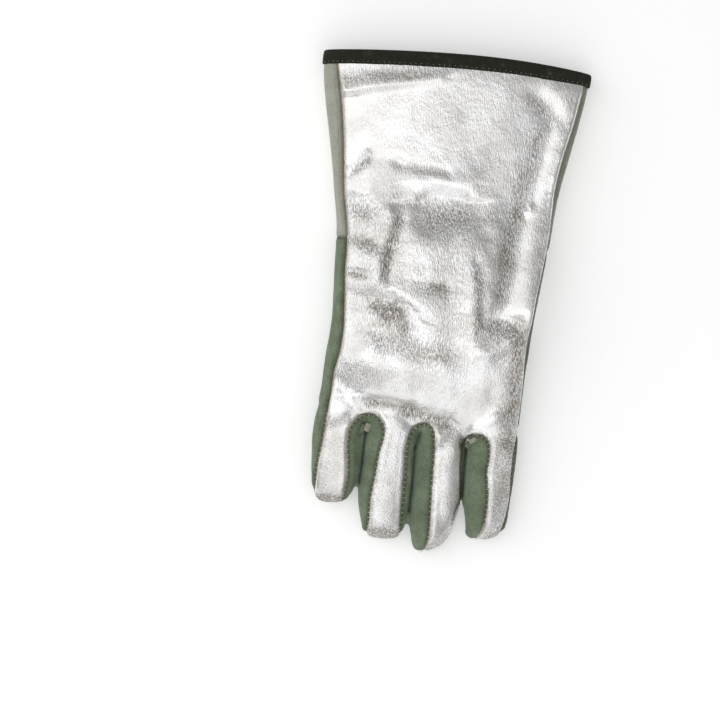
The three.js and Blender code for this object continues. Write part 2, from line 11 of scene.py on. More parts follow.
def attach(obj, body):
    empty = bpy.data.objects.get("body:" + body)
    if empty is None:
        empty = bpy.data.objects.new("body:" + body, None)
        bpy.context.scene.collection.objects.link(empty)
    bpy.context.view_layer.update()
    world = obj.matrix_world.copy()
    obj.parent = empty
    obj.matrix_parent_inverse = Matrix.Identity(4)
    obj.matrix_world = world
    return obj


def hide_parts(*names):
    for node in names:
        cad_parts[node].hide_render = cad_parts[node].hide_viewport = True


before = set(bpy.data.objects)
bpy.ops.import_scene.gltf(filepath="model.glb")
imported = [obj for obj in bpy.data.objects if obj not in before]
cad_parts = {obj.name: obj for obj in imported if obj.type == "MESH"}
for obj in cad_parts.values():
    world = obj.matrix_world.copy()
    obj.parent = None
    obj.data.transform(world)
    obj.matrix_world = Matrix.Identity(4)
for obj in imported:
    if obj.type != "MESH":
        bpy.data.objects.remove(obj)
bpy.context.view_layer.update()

# How the glove is looked at
# It lies on a white table and is seen from straight above through a long lens.
# The cuff leans a little to the right, so the camera is rolled by the same angle.
VIEW_HEIGHT = 2.5
VIEW_LEAN = math.radians(4.3)
PICTURE_WIDTH = 0.5147
PICTURE_MIDDLE = (-0.0538, -0.0454, 0.016)
SENSOR = 36

camera = bpy.data.objects.new("camera", bpy.data.cameras.new("camera"))
bpy.context.scene.collection.objects.link(camera)
bpy.context.scene.camera = camera
camera.data.sensor_width = SENSOR
camera.data.lens = SENSOR * VIEW_HEIGHT / PICTURE_WIDTH
view_x, view_y, view_z = PICTURE_MIDDLE
camera.location = (view_x, view_y, view_z + VIEW_HEIGHT)
camera.rotation_euler = (0, 0, VIEW_LEAN)

# The sewn glove as one skin
# Leather and aluminized cloth are sewn into a hand with a long flared cuff, four fingers and a thumb.
# Every tube is lofted from its sections, all are fused, and the panels are then cut from this one skin.


def rows_of(columns, rows):
    """Rows of numbers as dictionaries by the names of their columns."""
    return [dict(zip(columns.split(), row)) for row in rows]


# All measures from here on are in millimetres, and TO_FRAME moves them to the frame's origin
MM = 0.001
TO_FRAME = Vector((0.026, 1.675, 0))
MOUTH_Y = 174.6
# How far the mouth's curve falls back at each side, and where down the cuff that starts
MOUTH_BOW = {"thumb_side": 6.6, "little_side": 3.0, "half": 94, "from_y": 60, "most": 1.3}
VOXEL = 1.35
# Hand and cuff: edges of the outline, height of both edges, highest and lowest point between them
HAND = rows_of("y left right left_z right_z top bottom", [
    (186, -95.5, 96, 16, 16, 31, 1.7),
    (174.6, -95, 95, 16, 16, 31, 1.7),
    (160, -95.2, 93.6, 16, 16, 32, 1.2),
    (136, -92, 89.6, 15, 15, 32.5, 0.2),
    (108, -87, 84.2, 15, 16, 33, 0.2),
    (80, -82.4, 78.6, 15, 17, 34, 0.2),
    (50, -78, 75.2, 15, 19, 36.5, 0.2),
    (20, -76.5, 71.2, 15, 25, 41, 0.2),
    (-10, -76.5, 67.3, 15, 30, 43.5, 0.2),
    (-40, -78.3, 64.3, 15, 30, 42.5, 0.8),
    (-65, -79.6, 63.3, 16, 25, 38, 3),
    (-80, -81, 62.4, 17, 22, 34, 5.5),
    (-87, -79, 59, 19, 21, 29.5, 9.5),
    (-90.5, -74, 53, 20, 20, 24, 15),
])
HAND_POINTS = 96
HAND_STEP = 3.5
# The hand closes towards the fingers' roots, on a slant
KNUCKLES = {"from_y": -80, "ys": [-83, -86, -88.5, -90.5], "slant": -0.1, "at_x": -44, "slant_ys": (70, 88)}
# How round a section is: 1 is an ellipse, and less is fuller
HAND_ROUND = {"across": 0.9, "back": 0.8, "palm": 0.65}
FINGER_ROUND = 0.88
THUMB_ROUND = 0.75
# Fingers from root to tip: middle and half width of the outline
FINGERS = {
    "little": rows_of("y x half", [
        (-64, -63.4, 12.5), (-84, -65, 16.4), (-100, -65.7, 17.9), (-121, -65.5, 17.9),
        (-135, -66.3, 16.4), (-144, -67, 12.6), (-148.5, -67.4, 10), (-150.2, -67.4, 6.5),
    ]),
    "ring": rows_of("y x half", [
        (-64, -28, 12.2), (-84, -28.2, 17.4), (-100, -27.8, 19.4), (-120, -28.3, 19.1),
        (-135, -29.1, 19.2), (-150, -29.2, 18.1), (-161, -29, 16.1), (-168.5, -29.1, 13.6),
        (-171.8, -29.4, 10.5), (-172.8, -29.4, 6),
    ]),
    "middle": rows_of("y x half", [
        (-64, 8.2, 11.9), (-84, 8.2, 16), (-100, 8.8, 17), (-114, 7.5, 16.9), (-128, 8, 17),
        (-140, 8.1, 16.9), (-151, 6.9, 16.7), (-160, 5.7, 16), (-168, 4.8, 13.5), (-174.5, 3.2, 9.6),
        (-178.4, 1, 5.6), (-179.8, 0.6, 2.6),
    ]),
    "index": rows_of("y x half", [
        (-64, 44.4, 12.4), (-84, 44.5, 16.6), (-100, 44.2, 18.3), (-121, 43.5, 18.4), (-135, 43.6, 17.2),
        (-146, 44.1, 15.9), (-156.5, 44.4, 14.6), (-162.5, 43.2, 12.8), (-166.6, 41, 9.8),
        (-168.6, 39.5, 5.8),
    ]),
}
# A finger's height, whose root tucks into the hand and whose tip rounds off over its last 15 mm
FINGER_FORM = {
    "root_y": -64, "root_z": 20.0, "tip_z": 12.1, "droop": 1.3, "root_half": 14.0, "tip_half": 12.0,
    "tuck": 0.75, "tuck_ys": (64, 84), "tip_long": 15, "tip_round": 2.2, "tip_low": 2, "thinnest": 0.03,
}
FINGER_POINTS = 48
FINGER_STEP = 3.0
TIP_STEP = 1.5
TIP_STEPS_FROM = 12
# Thumb folded under the palm: both edges of its outline from the side seam to the tip, and its heights
THUMB = rows_of("at near_x near_y far_x far_y top waist bottom", [
    (0, 69.5, 22, 68, -8, 22, 13, 5),
    (1, 68, 31, 66, -17, 27, 13, 1.5),
    (2, 62, 36, 60, -24, 29, 12, 0.2),
    (3, 50, 34, 50, -29, 26, 10, 0.2),
    (4, 34, 29, 37, -35, 17.5, 8.5, 0.2),
    (5, 12, 19, 22, -43.6, 16.5, 8, 0.2),
    (6, -6, 1, 9.3, -53, 16.5, 8, 0.2),
    (7, -18, -14, -3, -58, 16, 8, 0.2),
    (8, -26, -27, -14, -58.6, 14.5, 7.6, 0.2),
    (9, -30, -36, -22, -55.5, 12, 7, 1),
    (10, -31, -42, -27.5, -50, 9.4, 6.6, 3.6),
])
THUMB_STEP = 0.25
# The palm rises over the folded thumb
THUMB_BED = {
    "x1": 38, "y1": -8, "x2": -12, "y2": -38, "reach": 22, "slope": 17, "height": 20.2, "below_edge": 4,
}


def clamp(value, low=0.0, high=1.0):
    return max(low, min(high, value))


def smooth(value, low, high):
    t = clamp((value - low) / (high - low))
    return t * t * (3 - 2 * t)


def mix(a, b, t):
    return a + (b - a) * t


def between(rows, key, column, value):
    """A column's value on a smooth curve through the rows, which run one way along key."""
    if rows[0][key] > rows[-1][key]:
        rows = rows[::-1]
    last = len(rows) - 1
    i = 0
    while i < last - 1 and rows[i + 1][key] < value:
        i += 1
    before, start, end, after = rows[max(i - 1, 0)], rows[i], rows[i + 1], rows[min(i + 2, last)]
    span = end[key] - start[key]
    t = clamp((value - start[key]) / span)
    rise_in = 0 if before is start else (end[column] - before[column]) / (end[key] - before[key])
    rise_out = 0 if after is end else (after[column] - start[column]) / (after[key] - start[key])
    return (
        (2 * t ** 3 - 3 * t ** 2 + 1) * start[column]
        + (t ** 3 - 2 * t ** 2 + t) * rise_in * span
        + (3 * t ** 2 - 2 * t ** 3) * end[column]
        + (t ** 3 - t ** 2) * rise_out * span
    )


def powered(value, power):
    return math.copysign(abs(value) ** power, value)


def off_line(x, y, line):
    """How far a point is from a line in plan, and its share along the line."""
    dx, dy = line["x2"] - line["x1"], line["y2"] - line["y1"]
    t = clamp(((x - line["x1"]) * dx + (y - line["y1"]) * dy) / (dx * dx + dy * dy))
    return math.hypot(x - line["x1"] - t * dx, y - line["y1"] - t * dy), t


def mouth_bow(x, y):
    """How far the cuff's curved mouth falls back from its middle."""
    bow = MOUTH_BOW["thumb_side"] if x > 0 else MOUTH_BOW["little_side"]
    start = MOUTH_BOW["from_y"]
    return bow * (x / MOUTH_BOW["half"]) ** 2 * clamp((y - start) / (MOUTH_Y - start), 0, MOUTH_BOW["most"])


def hand_section(y, inset=0.0, count=HAND_POINTS):
    """Points round hand and cuff at y, smaller by inset, from the thumb side over the back to the palm."""
    left, right, left_z, right_z, top, bottom = (
        between(HAND, "y", column, y) for column in ("left", "right", "left_z", "right_z", "top", "bottom")
    )
    middle, half = (left + right) / 2, (right - left) / 2
    points = []
    for i in range(count):
        angle = 2 * math.pi * i / count
        across, up = powered(math.cos(angle), HAND_ROUND["across"]), math.sin(angle)
        x = middle + half * across
        edge_z = mix(left_z, right_z, (across + 1) / 2)
        if up >= 0:
            z = edge_z + (top - inset - edge_z) * up ** HAND_ROUND["back"]
        else:
            lying = edge_z - (edge_z - bottom - inset) * (-up) ** HAND_ROUND["palm"]
            off = (off_line(x, y, THUMB_BED)[0] - THUMB_BED["reach"]) / THUMB_BED["slope"]
            raised = THUMB_BED["height"] * (1 - smooth(off, 0, 1))
            limit = edge_z + THUMB_BED["below_edge"] * up + inset * min(1, -2 * up)
            z = max(lying, min(raised + inset, limit))
        slant = KNUCKLES["slant"] * (x - KNUCKLES["at_x"]) * smooth(-y, *KNUCKLES["slant_ys"])
        points.append((middle + (half - inset) * across, y - mouth_bow(x, y) + slant, z))
    return points


def finger_section(rows, y):
    form = FINGER_FORM
    tip_y = rows[-1]["y"]
    share = (form["root_y"] - y) / (form["root_y"] - tip_y)
    middle, half = between(rows, "y", "x", y), between(rows, "y", "half", y)
    axis_z = mix(form["root_z"], form["tip_z"], share ** form["droop"])
    tuck = mix(form["tuck"], 1, smooth(-y, *form["tuck_ys"]))
    past = clamp(1 - (y - tip_y) / form["tip_long"])
    rounding = math.sqrt(max(form["thinnest"], 1 - past ** form["tip_round"]))
    tall = mix(form["root_half"], form["tip_half"], share) * tuck * rounding
    points = []
    for i in range(FINGER_POINTS):
        angle = 2 * math.pi * i / FINGER_POINTS
        across, up = powered(math.cos(angle), FINGER_ROUND), powered(math.sin(angle), FINGER_ROUND)
        points.append((middle + half * across, y, axis_z - form["tip_low"] * past * past + tall * up))
    return points


def thumb_section(at):
    row = {column: between(THUMB, "at", column, at) for column in THUMB[0]}
    middle = ((row["near_x"] + row["far_x"]) / 2, (row["near_y"] + row["far_y"]) / 2)
    half = ((row["far_x"] - row["near_x"]) / 2, (row["far_y"] - row["near_y"]) / 2)
    points = []
    for i in range(FINGER_POINTS):
        angle = 2 * math.pi * i / FINGER_POINTS
        across, up = math.cos(angle), powered(math.sin(angle), THUMB_ROUND)
        tall = row["top"] - row["waist"] if up > 0 else row["waist"] - row["bottom"]
        points.append((middle[0] + half[0] * across, middle[1] + half[1] * across, row["waist"] + tall * up))
    return points


def steps(start, end, step):
    count = max(1, round(abs(end - start) / step))
    return [mix(start, end, i / count) for i in range(count + 1)]


def loft(bm, sections, closed=True):
    """A skin bridged through rings of equally many points, given in millimetres."""
    rings = []
    for section in sections:
        ring = bmesh.ops.create_circle(bm, cap_ends=False, radius=1, segments=len(section))["verts"]
        for vert, point in zip(ring, section):
            vert.co = (Vector(point) + TO_FRAME) * MM
        rings.append(ring)
    edges = [[e for v in ring for e in v.link_edges if e.verts[0] is v] for ring in rings]
    for ring_a, ring_b in zip(edges, edges[1:]):
        bmesh.ops.bridge_loops(bm, edges=ring_a + ring_b)
    if closed:
        for ring in (rings[0], rings[-1]):
            bmesh.ops.contextual_create(bm, geom=ring)


def new_piece(name, bm, *materials):
    """An object with smooth faces from a bmesh, which is used up, and its materials."""
    for face in bm.faces:
        face.smooth = True
    mesh = bpy.data.meshes.new(name)
    bm.to_mesh(mesh)
    bm.free()
    for material in materials:
        mesh.materials.append(material)
    piece = bpy.data.objects.new(name, mesh)
    bpy.context.scene.collection.objects.link(piece)
    return piece


def relax(bm, verts, rounds=1, factor=0.5):
    for _ in range(rounds):
        bmesh.ops.smooth_vert(
            bm, verts=verts, factor=factor, use_axis_x=True, use_axis_y=True, use_axis_z=True,
        )


tubes = bmesh.new()
hand_ys = steps(HAND[0]["y"], KNUCKLES["from_y"], HAND_STEP) + KNUCKLES["ys"]
loft(tubes, [hand_section(y) for y in hand_ys])
for rows in FINGERS.values():
    tip_y = rows[-1]["y"]
    finger_ys = steps(FINGER_FORM["root_y"], tip_y + TIP_STEPS_FROM, FINGER_STEP)
    finger_ys += steps(tip_y + (TIP_STEPS_FROM - TIP_STEP), tip_y, TIP_STEP)
    loft(tubes, [finger_section(rows, y) for y in finger_ys])
loft(tubes, [thumb_section(at) for at in steps(0, len(THUMB) - 1, THUMB_STEP)])
bmesh.ops.recalc_face_normals(tubes, faces=tubes.faces)
form = new_piece("sewn_form", tubes)
fuse = form.modifiers.new("fuse", "REMESH")
fuse.mode = "VOXEL"
fuse.voxel_size = VOXEL * MM
skin_mesh = bpy.data.meshes.new_from_object(form.evaluated_get(bpy.context.evaluated_depsgraph_get()))
bpy.data.objects.remove(form)
skin = bmesh.new()
skin.from_mesh(skin_mesh)
# Every point of the skin keeps how far it is from a seam, how much painted shade it gets deep between two
# fingers, and how worn its foil is, which also places painted shade and dark reflections on the foil
to_seam = skin.verts.layers.float.new("to_seam")
fold_shade = skin.verts.layers.float.new("fold_shade")
worn_and_shaded = skin.verts.layers.float.new("worn_and_shaded")
relax(skin, skin.verts, rounds=4)

# Panels
# The back is one aluminized panel with four finger strips. Palm, fingers' sides and cuff are leather.
# Each panel's edge is the seam that it is sewn along, and the skin is cut there.
SEAM_LINES = {
    "little side": [
        (-88, 200), (-85.8, 165.6), (-81.3, 137.3), (-77.7, 108.8), (-74.7, 73.2), (-71.9, 55.5), (-70, 37.7),
        (-69.5, 16.3), (-68.5, -12.3), (-67.6, -26.6), (-68.7, -41), (-72, -55.6), (-73.2, -70),
        (-75.4, -91.7), (-76.5, -106.1), (-78.7, -120.6), (-80.1, -137), (-79.9, -144.5), (-78.6, -149),
    ],
    "little strip's end": [(-77.8, -154), (-59.4, -154)],
    "little strip": [
        (-58.4, -148), (-56.9, -140.5), (-55.8, -133.2), (-56.6, -118.9), (-57.8, -110), (-57.7, -98.5),
    ],
    "first arch": [(-55.7, -93.8), (-51.5, -88.7), (-44.6, -85.3), (-39, -86.3), (-34.4, -91.5)],
    "ring strip's left": [
        (-32.8, -97.5), (-33.6, -103.5), (-35.5, -111.1), (-36.7, -123), (-38.5, -137.6), (-39.5, -146),
        (-39.4, -160),
    ],
    "ring strip's end": [(-39.6, -177), (-18, -177)],
    "ring strip's right": [(-15.6, -168), (-15, -158), (-15, -140), (-15.1, -120.5), (-15.2, -106)],
    "second arch": [(-14.2, -98), (-11.6, -93), (-6.9, -89.3), (-1.8, -88.8), (1.6, -92.8)],
    "middle strip's left": [
        (3.1, -100.7), (3.4, -115.3), (3.5, -130), (3.8, -144.5), (4.3, -156), (4.3, -167), (3, -176.5),
    ],
    "middle strip's end": [(0.5, -184), (25, -184)],
    "middle strip's right": [(25.2, -165), (25.8, -145), (25, -121), (25.5, -106)],
    "third arch": [(26.6, -99.6), (30.2, -95.8), (36, -93.8), (40.6, -96.6)],
    "index strip's left": [
        (43, -104), (42.7, -112.3), (41.9, -121.2), (43.4, -130.5), (44.2, -141.5), (43.6, -153),
        (42.2, -163), (38, -169.5),
    ],
    "index strip's end": [(37, -176), (52, -176)],
    "thumb side": [
        (55.5, -163), (58.6, -152), (60.3, -136), (60.4, -112), (61.5, -95.8), (63.3, -67), (63.7, -38.4),
        (64.7, -24), (67, -9.4), (68.4, 5), (71.6, 26.8), (74.9, 55.7), (76.5, 84.5), (80.2, 106.3),
        (83.8, 120.9), (87.2, 135.5), (89.8, 150), (91.2, 162), (93, 200),
    ],
}
# The nodes that each other piece of the skin stands for
LEATHER_PIECES = {name: [name] for name in (
    "palm_leather", "middle_ring_front", "fourchette_little_ring", "fourchette_ring_middle",
    "fourchette_middle_index", "thumb_front", "thumb_back", "cuff_leather",
)}
LEATHER_PIECES["palm_leather"] += ["little_front", "index_front", "thumb_root"]
PIECES = ["back_shell", *LEATHER_PIECES]
BACK = 0
CUT_OFF = -1
# Height that parts back from palm along the fingers, which fall towards their tips
FINGER_WAIST = {"from_y": -88, "z": 15.6, "at_y": -92, "fall": 0.078}
# An edge that a seam crosses nearer to one end than this share has that end moved on to the seam
SNAP = 0.22
SHORTEST_SEAM = 5
SEAM_ROUNDS = 12
BESIDE_ROUNDS = 5


def from_mouth(x, y):
    return MOUTH_Y - mouth_bow(x, y) - y


def smooth_line(points, pieces=4):
    """Points on a curve through the given points of a closed outline."""
    count = len(points)
    curve = []
    for i in range(count):
        a, b, c, d = (Vector(points[(i + k) % count]) for k in (-1, 0, 1, 2))
        for j in range(pieces):
            t = j / pieces
            curve.append(0.5 * (2 * b + (c - a) * t + (2 * a - 5 * b + 4 * c - d) * t * t
                                + (3 * b - a - 3 * c + d) * t ** 3))
    return curve


def inside_outline(points, outline):
    """Signed distance in plan from each point to a closed outline, positive inside."""
    start = np.array(outline)
    end = np.roll(start, -1, axis=0)
    along = end - start
    nearest = np.full(len(points), 1e9)
    inside = np.zeros(len(points), bool)
    for (sx, sy), (_, ey), (dx, dy) in zip(start, end, along):
        px, py = points[:, 0] - sx, points[:, 1] - sy
        t = np.clip((px * dx + py * dy) / (dx * dx + dy * dy + 1e-12), 0, 1)
        nearest = np.minimum(nearest, np.hypot(px - t * dx, py - t * dy))
        if sy != ey:
            crosses = (points[:, 1] < sy) != (points[:, 1] < ey)
            inside ^= crosses & (px < dx * (points[:, 1] - sy) / (ey - sy))
    return np.where(inside, nearest, -nearest)


def under_back(x, y):
    """Height that parts the back's side of the glove from its palm side."""
    if y > FINGER_WAIST["from_y"]:
        left, right, left_z, right_z = (
            between(HAND, "y", column, y) for column in ("left", "right", "left_z", "right_z")
        )
        return mix(left_z, right_z, clamp((x - left) / (right - left)))
    return FINGER_WAIST["z"] - (FINGER_WAIST["at_y"] - y) * FINGER_WAIST["fall"]


def tree_of(names):
    corners, faces = [], []
    for name in names:
        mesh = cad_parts[name].data
        faces += [[len(corners) + i for i in p.vertices] for p in mesh.polygons]
        corners += [v.co.copy() for v in mesh.vertices]
    return BVHTree.FromPolygons(corners, faces)


trees = {piece: tree_of(nodes) for piece, nodes in LEATHER_PIECES.items()}
all_leather = tree_of([node for nodes in LEATHER_PIECES.values() for node in nodes])
face_piece = []
for i, nodes in enumerate(LEATHER_PIECES.values()):
    face_piece += [i + 1] * sum(len(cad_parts[node].data.polygons) for node in nodes)

skin.verts.ensure_lookup_table()
spots = np.array([v.co for v in skin.verts]) / MM - np.array(TO_FRAME)
outline = smooth_line([point for line in SEAM_LINES.values() for point in line])
floors = np.array([under_back(x, y) for x, y, _ in spots])
in_back = np.minimum(inside_outline(spots[:, :2], outline), spots[:, 2] - floors)
in_mouth = np.array([from_mouth(x, y) for x, y, _ in spots])
belongs = []
for vert, back_depth, mouth_depth in zip(skin.verts, in_back, in_mouth):
    if mouth_depth < 0:
        belongs.append(CUT_OFF)
    elif back_depth > 0:
        belongs.append(BACK)
    else:
        belongs.append(face_piece[all_leather.find_nearest(vert.co)[2]])


def depth_in(piece, i, other):
    """How far inside a piece a point of the skin lies, against the piece on the other side of a seam."""
    if CUT_OFF in (piece, other):
        return in_mouth[i] if other == CUT_OFF else -in_mouth[i]
    if BACK in (piece, other):
        return in_back[i] if piece == BACK else -in_back[i]
    co = skin.verts[i].co
    near = trees[PIECES[piece]].find_nearest(co)[3]
    return trees[PIECES[other]].find_nearest(co)[3] - near


splits = []
for edge in skin.edges:
    a, b = edge.verts
    if belongs[a.index] != belongs[b.index]:
        depth_a = depth_in(belongs[a.index], a.index, belongs[b.index])
        depth_b = -depth_in(belongs[a.index], b.index, belongs[b.index])
        share = clamp(depth_a / (depth_a + depth_b) if depth_a + depth_b > 1e-9 else 0.5)
        splits.append((edge, a, b, share))
moves = {}
for edge, a, b, share in splits:
    if share < SNAP:
        moves.setdefault(a, []).append(a.co.lerp(b.co, share))
    elif share > 1 - SNAP:
        moves.setdefault(b, []).append(a.co.lerp(b.co, share))
for vert, places in moves.items():
    vert.co = sum(places, Vector()) / len(places)
piece_of = {v: belongs[v.index] for v in skin.verts}
for vert in moves:
    piece_of[vert] = None
for edge, a, b, share in splits:
    if a not in moves and b not in moves:
        vert = bmesh.utils.edge_split(edge, a, share)[1]
        piece_of[vert] = None
bmesh.ops.connect_verts(skin, verts=[v for v, piece in piece_of.items() if piece is None])


def piece_at(point):
    spot = point / MM - TO_FRAME
    if from_mouth(spot.x, spot.y) < 0:
        return CUT_OFF
    flat = np.array([[spot.x, spot.y]])
    if min(inside_outline(flat, outline)[0], spot.z - under_back(spot.x, spot.y)) > 0:
        return BACK
    return face_piece[all_leather.find_nearest(point)[2]]


face_in = skin.faces.layers.int.new("piece")
for face in skin.faces:
    found = [piece_of[v] for v in face.verts if piece_of[v] is not None]
    face[face_in] = max(set(found), key=found.count) if found else piece_at(face.calc_center_median())
bmesh.ops.delete(skin, geom=[f for f in skin.faces if f[face_in] == CUT_OFF], context="FACES")

# Each seam as runs of points in order, with the pieces that it joins
seam_edges = {}
for edge in skin.edges:
    if len(edge.link_faces) == 2:
        pair = tuple(sorted({f[face_in] for f in edge.link_faces}))
        if len(pair) == 2:
            seam_edges[edge] = pair


def runs_of(edges):
    """The edges' points in order, one list for each unbroken line."""
    left = set(edges)
    ends = {}
    for edge in edges:
        for vert in edge.verts:
            ends.setdefault(vert, []).append(edge)
    starts = [v for v, found in ends.items() if len(found) != 2] or list(ends)[:1]
    runs = []
    while left:
        start = next((v for v in starts if any(e in left for e in ends[v])), None)
        if start is None:
            start = min(left, key=lambda e: e.index).verts[0]
        run = [start]
        while True:
            follow = next((e for e in ends[run[-1]] if e in left), None)
            if follow is None:
                break
            left.discard(follow)
            run.append(follow.other_vert(run[-1]))
            if len(ends[run[-1]]) != 2:
                break
        runs.append(run)
    return runs


skin.edges.index_update()
seams = []
for pair in sorted(set(seam_edges.values())):
    for run in runs_of([e for e, found in seam_edges.items() if found == pair]):
        if len(run) >= SHORTEST_SEAM:
            seams.append((pair, run))
for _ in range(SEAM_ROUNDS):
    for pair, run in seams:
        places = [v.co.copy() for v in run]
        for i in range(1, len(run) - 1):
            run[i].co = places[i].lerp((places[i - 1] + places[i + 1]) / 2, 0.5)
near_seam = {v for edge in seam_edges for vert in edge.verts for e in vert.link_edges for v in e.verts}
beside = [v for v in near_seam if not any(e in seam_edges or e.is_boundary for e in v.link_edges)]
relax(skin, beside, BESIDE_ROUNDS)


# Valleys, rolls and creases of the sewn skin
# Panels are sewn face to face and turned, so a seam lies in a valley between two soft rolls.
# The stiff aluminized cloth keeps every crease of hand and cuff, and padded fingers press against each other.
VALLEY = {
    "deep": 1.0, "width": 1.7, "roll": 0.5, "roll_at": 3.4, "roll_width": 1.9, "pucker": 0.1, "pucker_at": 3,
    "pucker_width": 3.5, "pitch": 6.0, "uneven": 9, "uneven_scale": 90,
}
# The seam between palm and cuff is pressed flat
PRESSED_FLAT = 0.3
# Creases of the back: a line, how far it stands up or sinks, and its reach to its left and to its right
LINE = "x1 y1 x2 y2 rise left right"
CREASES = rows_of(LINE, [
    (-86, 143, -12, 158, 2, 10, 4), (-84, 159, -30, 163, -1.2, 4, 5),
    (-75, 84, -61, 97, -1.8, 5, 5), (-58, 97, -37, 96.5, -0.6, 4, 6),
    (-37, 96.5, -2, 91, -0.7, 4, 5), (59, 149, 75, 135, -1.7, 6, 8),
    (-14, 70, 7, 72, -2.9, 7, 17), (-19, 82, 13, 84, 1.2, 12, 8),
    (-16, 40, 18, 43, 1.6, 9, 12), (-41, 57, -47.5, 12, 1.8, 6, 8),
    (-33, 54, -39, 12, -1.3, 6, 5), (70, 127, 59, 74, -1.7, 5, 9),
    (55, 60, 47, -2, -1.7, 6, 9), (-70, 68, -57, 65, -1.4, 4, 10),
    (-67, 44, -51, 40, -1.3, 4, 9), (-74, 16, -54, 14, -1.5, 3, 4),
    (-66, -2, -38, -4, -1.6, 5, 11), (-34, -4, -18, -12, -1.9, 5, 13),
    (-11, 12, 4, 10, -1.4, 4, 8), (21.5, 23, 26, -16, 1.4, 3.5, 9),
    (37, 52, 36, 2, 1.3, 5, 8), (30, -10, 56, -13, -2.2, 5, 12),
    (36, -36, 60, -17, 2.4, 9, 6), (-56, -26, 12, -29, -1.2, 9, 12),
    (-50, -52, 34, -56, 1.7, 16, 16), (-71, -60, -42, -76, -1.4, 3, 4),
    (-42, -75, -16, -77, -2.6, 4, 9), (-16, -77, 8, -84, -3, 5, 9),
    (8, -87, 24, -90, -1.8, 4, 5), (28, -93, 46, -80, 1.7, 5, 4),
    (-77, -95, -59, -88, -1.7, 3, 4), (3, -105, 15, -96, -1.4, 3, 4),
    (56, -28, 55, -74, 1.6, 7, 8), (22, -108, 24, -150, 1.7, 3, 7),
    (57, -92, 57, -112, 1.4, 3, 5),
])
# How a crease strays from its straight line, and how many reaches away it ends
STRAY = {"by": 3.0, "scale": 21, "across_seed": 3, "along_seed": 8}
REACHES = 2.4
# The thumb side of the cuff stands up in a soft shoulder, whose rise grows from the mouth to the hand
SHOULDER = {"x1": 92, "y1": 172, "x2": 70, "y2": -2, "rise": 2.4, "rise_end": 8.0, "left": 15, "right": 5}
# Where the foil is dull and finely cracked from bending and rubbing, and where painted shade and dark
# reflections grey it: a line, how much, and its reaches
WEAR_AND_SHADE = rows_of(LINE, [
    (-79, -148, -58, -148, 1.3, 4, 9), (-41, -169.5, -16, -169.5, 1.2, 5, 8),
    (2, -181, 24, -168, 0.9, 6, 9), (24, -168, 26, -120, 0.5, 3, 5),
    (42, -172, 58, -162, 0.7, 5, 9), (60, -162, 61, -90, 0.6, 5, 6),
    (58, -26, 57, -76, 0.95, 6, 6), (-34, 56, -42, 12, 0.8, 4.5, 3.5),
    (24, 20, 28, -16, 0.75, 4, 3), (-9, 57, 8, 59, 0.65, 12, 13),
    (38, -16, 54, -15, 0.8, 6, 11), (60, 122, 49, 66, 0.75, 6, 6),
    (48, 60, 43, 4, 0.75, 6, 6), (-32, -9, -24, -22, 0.75, 6, 7),
    (-46, -7, -38, -16, 0.7, 5, 6), (-8, 8, 1, 7, 0.6, 4, 4), (-40, -36, 8, -42, 0.5, 9, 8),
    (-70, -60, -42, -77, 0.5, 3, 3), (-42, -77, -14, -79, 0.7, 3, 5),
    (-14, -79, 8, -87, 0.95, 4, 6), (10, -89, 24, -92, 0.6, 3, 4),
    (-77, -95, -59, -88, 0.6, 2.5, 3), (3, -105, 15, -96, 0.6, 2.5, 4),
    (-84, 146, -20, 157, 0.6, 9, 2), (-68, 89, -60, 96, 0.7, 4, 4),
    (-32, 96, -8, 91.5, 0.35, 3, 4), (57, 144, 71, 133, 0.7, 6, 6),
    (-74, 15, -56, 13, 0.6, 2, 3), (14, -112, 15, -165, 0.2, 7, 8),
    (-70, 62, -58, 56, 0.5, 7, 7), (-66, 38, -52, 34, 0.5, 6, 6),
    (52, -100, 50, -165, 0.5, 8, 8), (-28, -100, -28, -165, 0.22, 9, 9),
    (-50, 60, -46, -20, 0.35, 22, 22), (6, 34, 4, -24, 0.35, 24, 24),
    (-68, -100, -69, -142, 0.2, 9, 9), (50, -78, 54, -98, 0.6, 6, 6),
    (40, -38, 48, -36, 0.5, 6, 6), (-66, -54, -50, -58, 0.45, 6, 6),
    (80, 160, 84, 152, 0.4, 5, 5), (32, 66, 36, 56, 0.45, 6, 6), (72, 62, 69, 20, 0.4, 4, 5),
    (42, 48, 40, 30, 0.4, 5, 5),
])
# Where one padded finger meets the next: the bottom of each fold
FINGER_FOLDS = rows_of(LINE, [
    (-45.4, -97, -47.4, -134, -3.2, 1.1, 1.1), (-7, -96, -9.8, -106, -2.6, 1.1, 1.1),
    (-9.8, -106, -10.6, -152, -2.8, 1.1, 1.1), (26.4, -104, 26.4, -138, -2.6, 1.2, 1.2),
])
# Fold depth at which the painted shade between two fingers is darkest
DEEPEST_FOLD = 3.4
# Soft unevenness all over, which is less on the cuff and along the thumb side
WAVES = rows_of("x y z seed high", [(26, 30, 26, 0, 1.0), (9, 13, 9, 7, 0.35)])
CALMER = 0.72
# Between which two values each of these fades in
FADE_IN = {
    "creases_from_mouth": (8, 26), "shoulder_from_mouth": (4, 18), "facing_up": (0.1, 0.6),
    "back_height": (14, 22), "fold_height": (9, 14), "wear_and_shade_height": (3, 10), "calmer_y": (60, 90),
    "calmer_x": (45, 60), "height_off_table": (0.5, 5),
}
LYING = 0.15


def bell(off, width):
    return math.exp(-(off / width) ** 2)


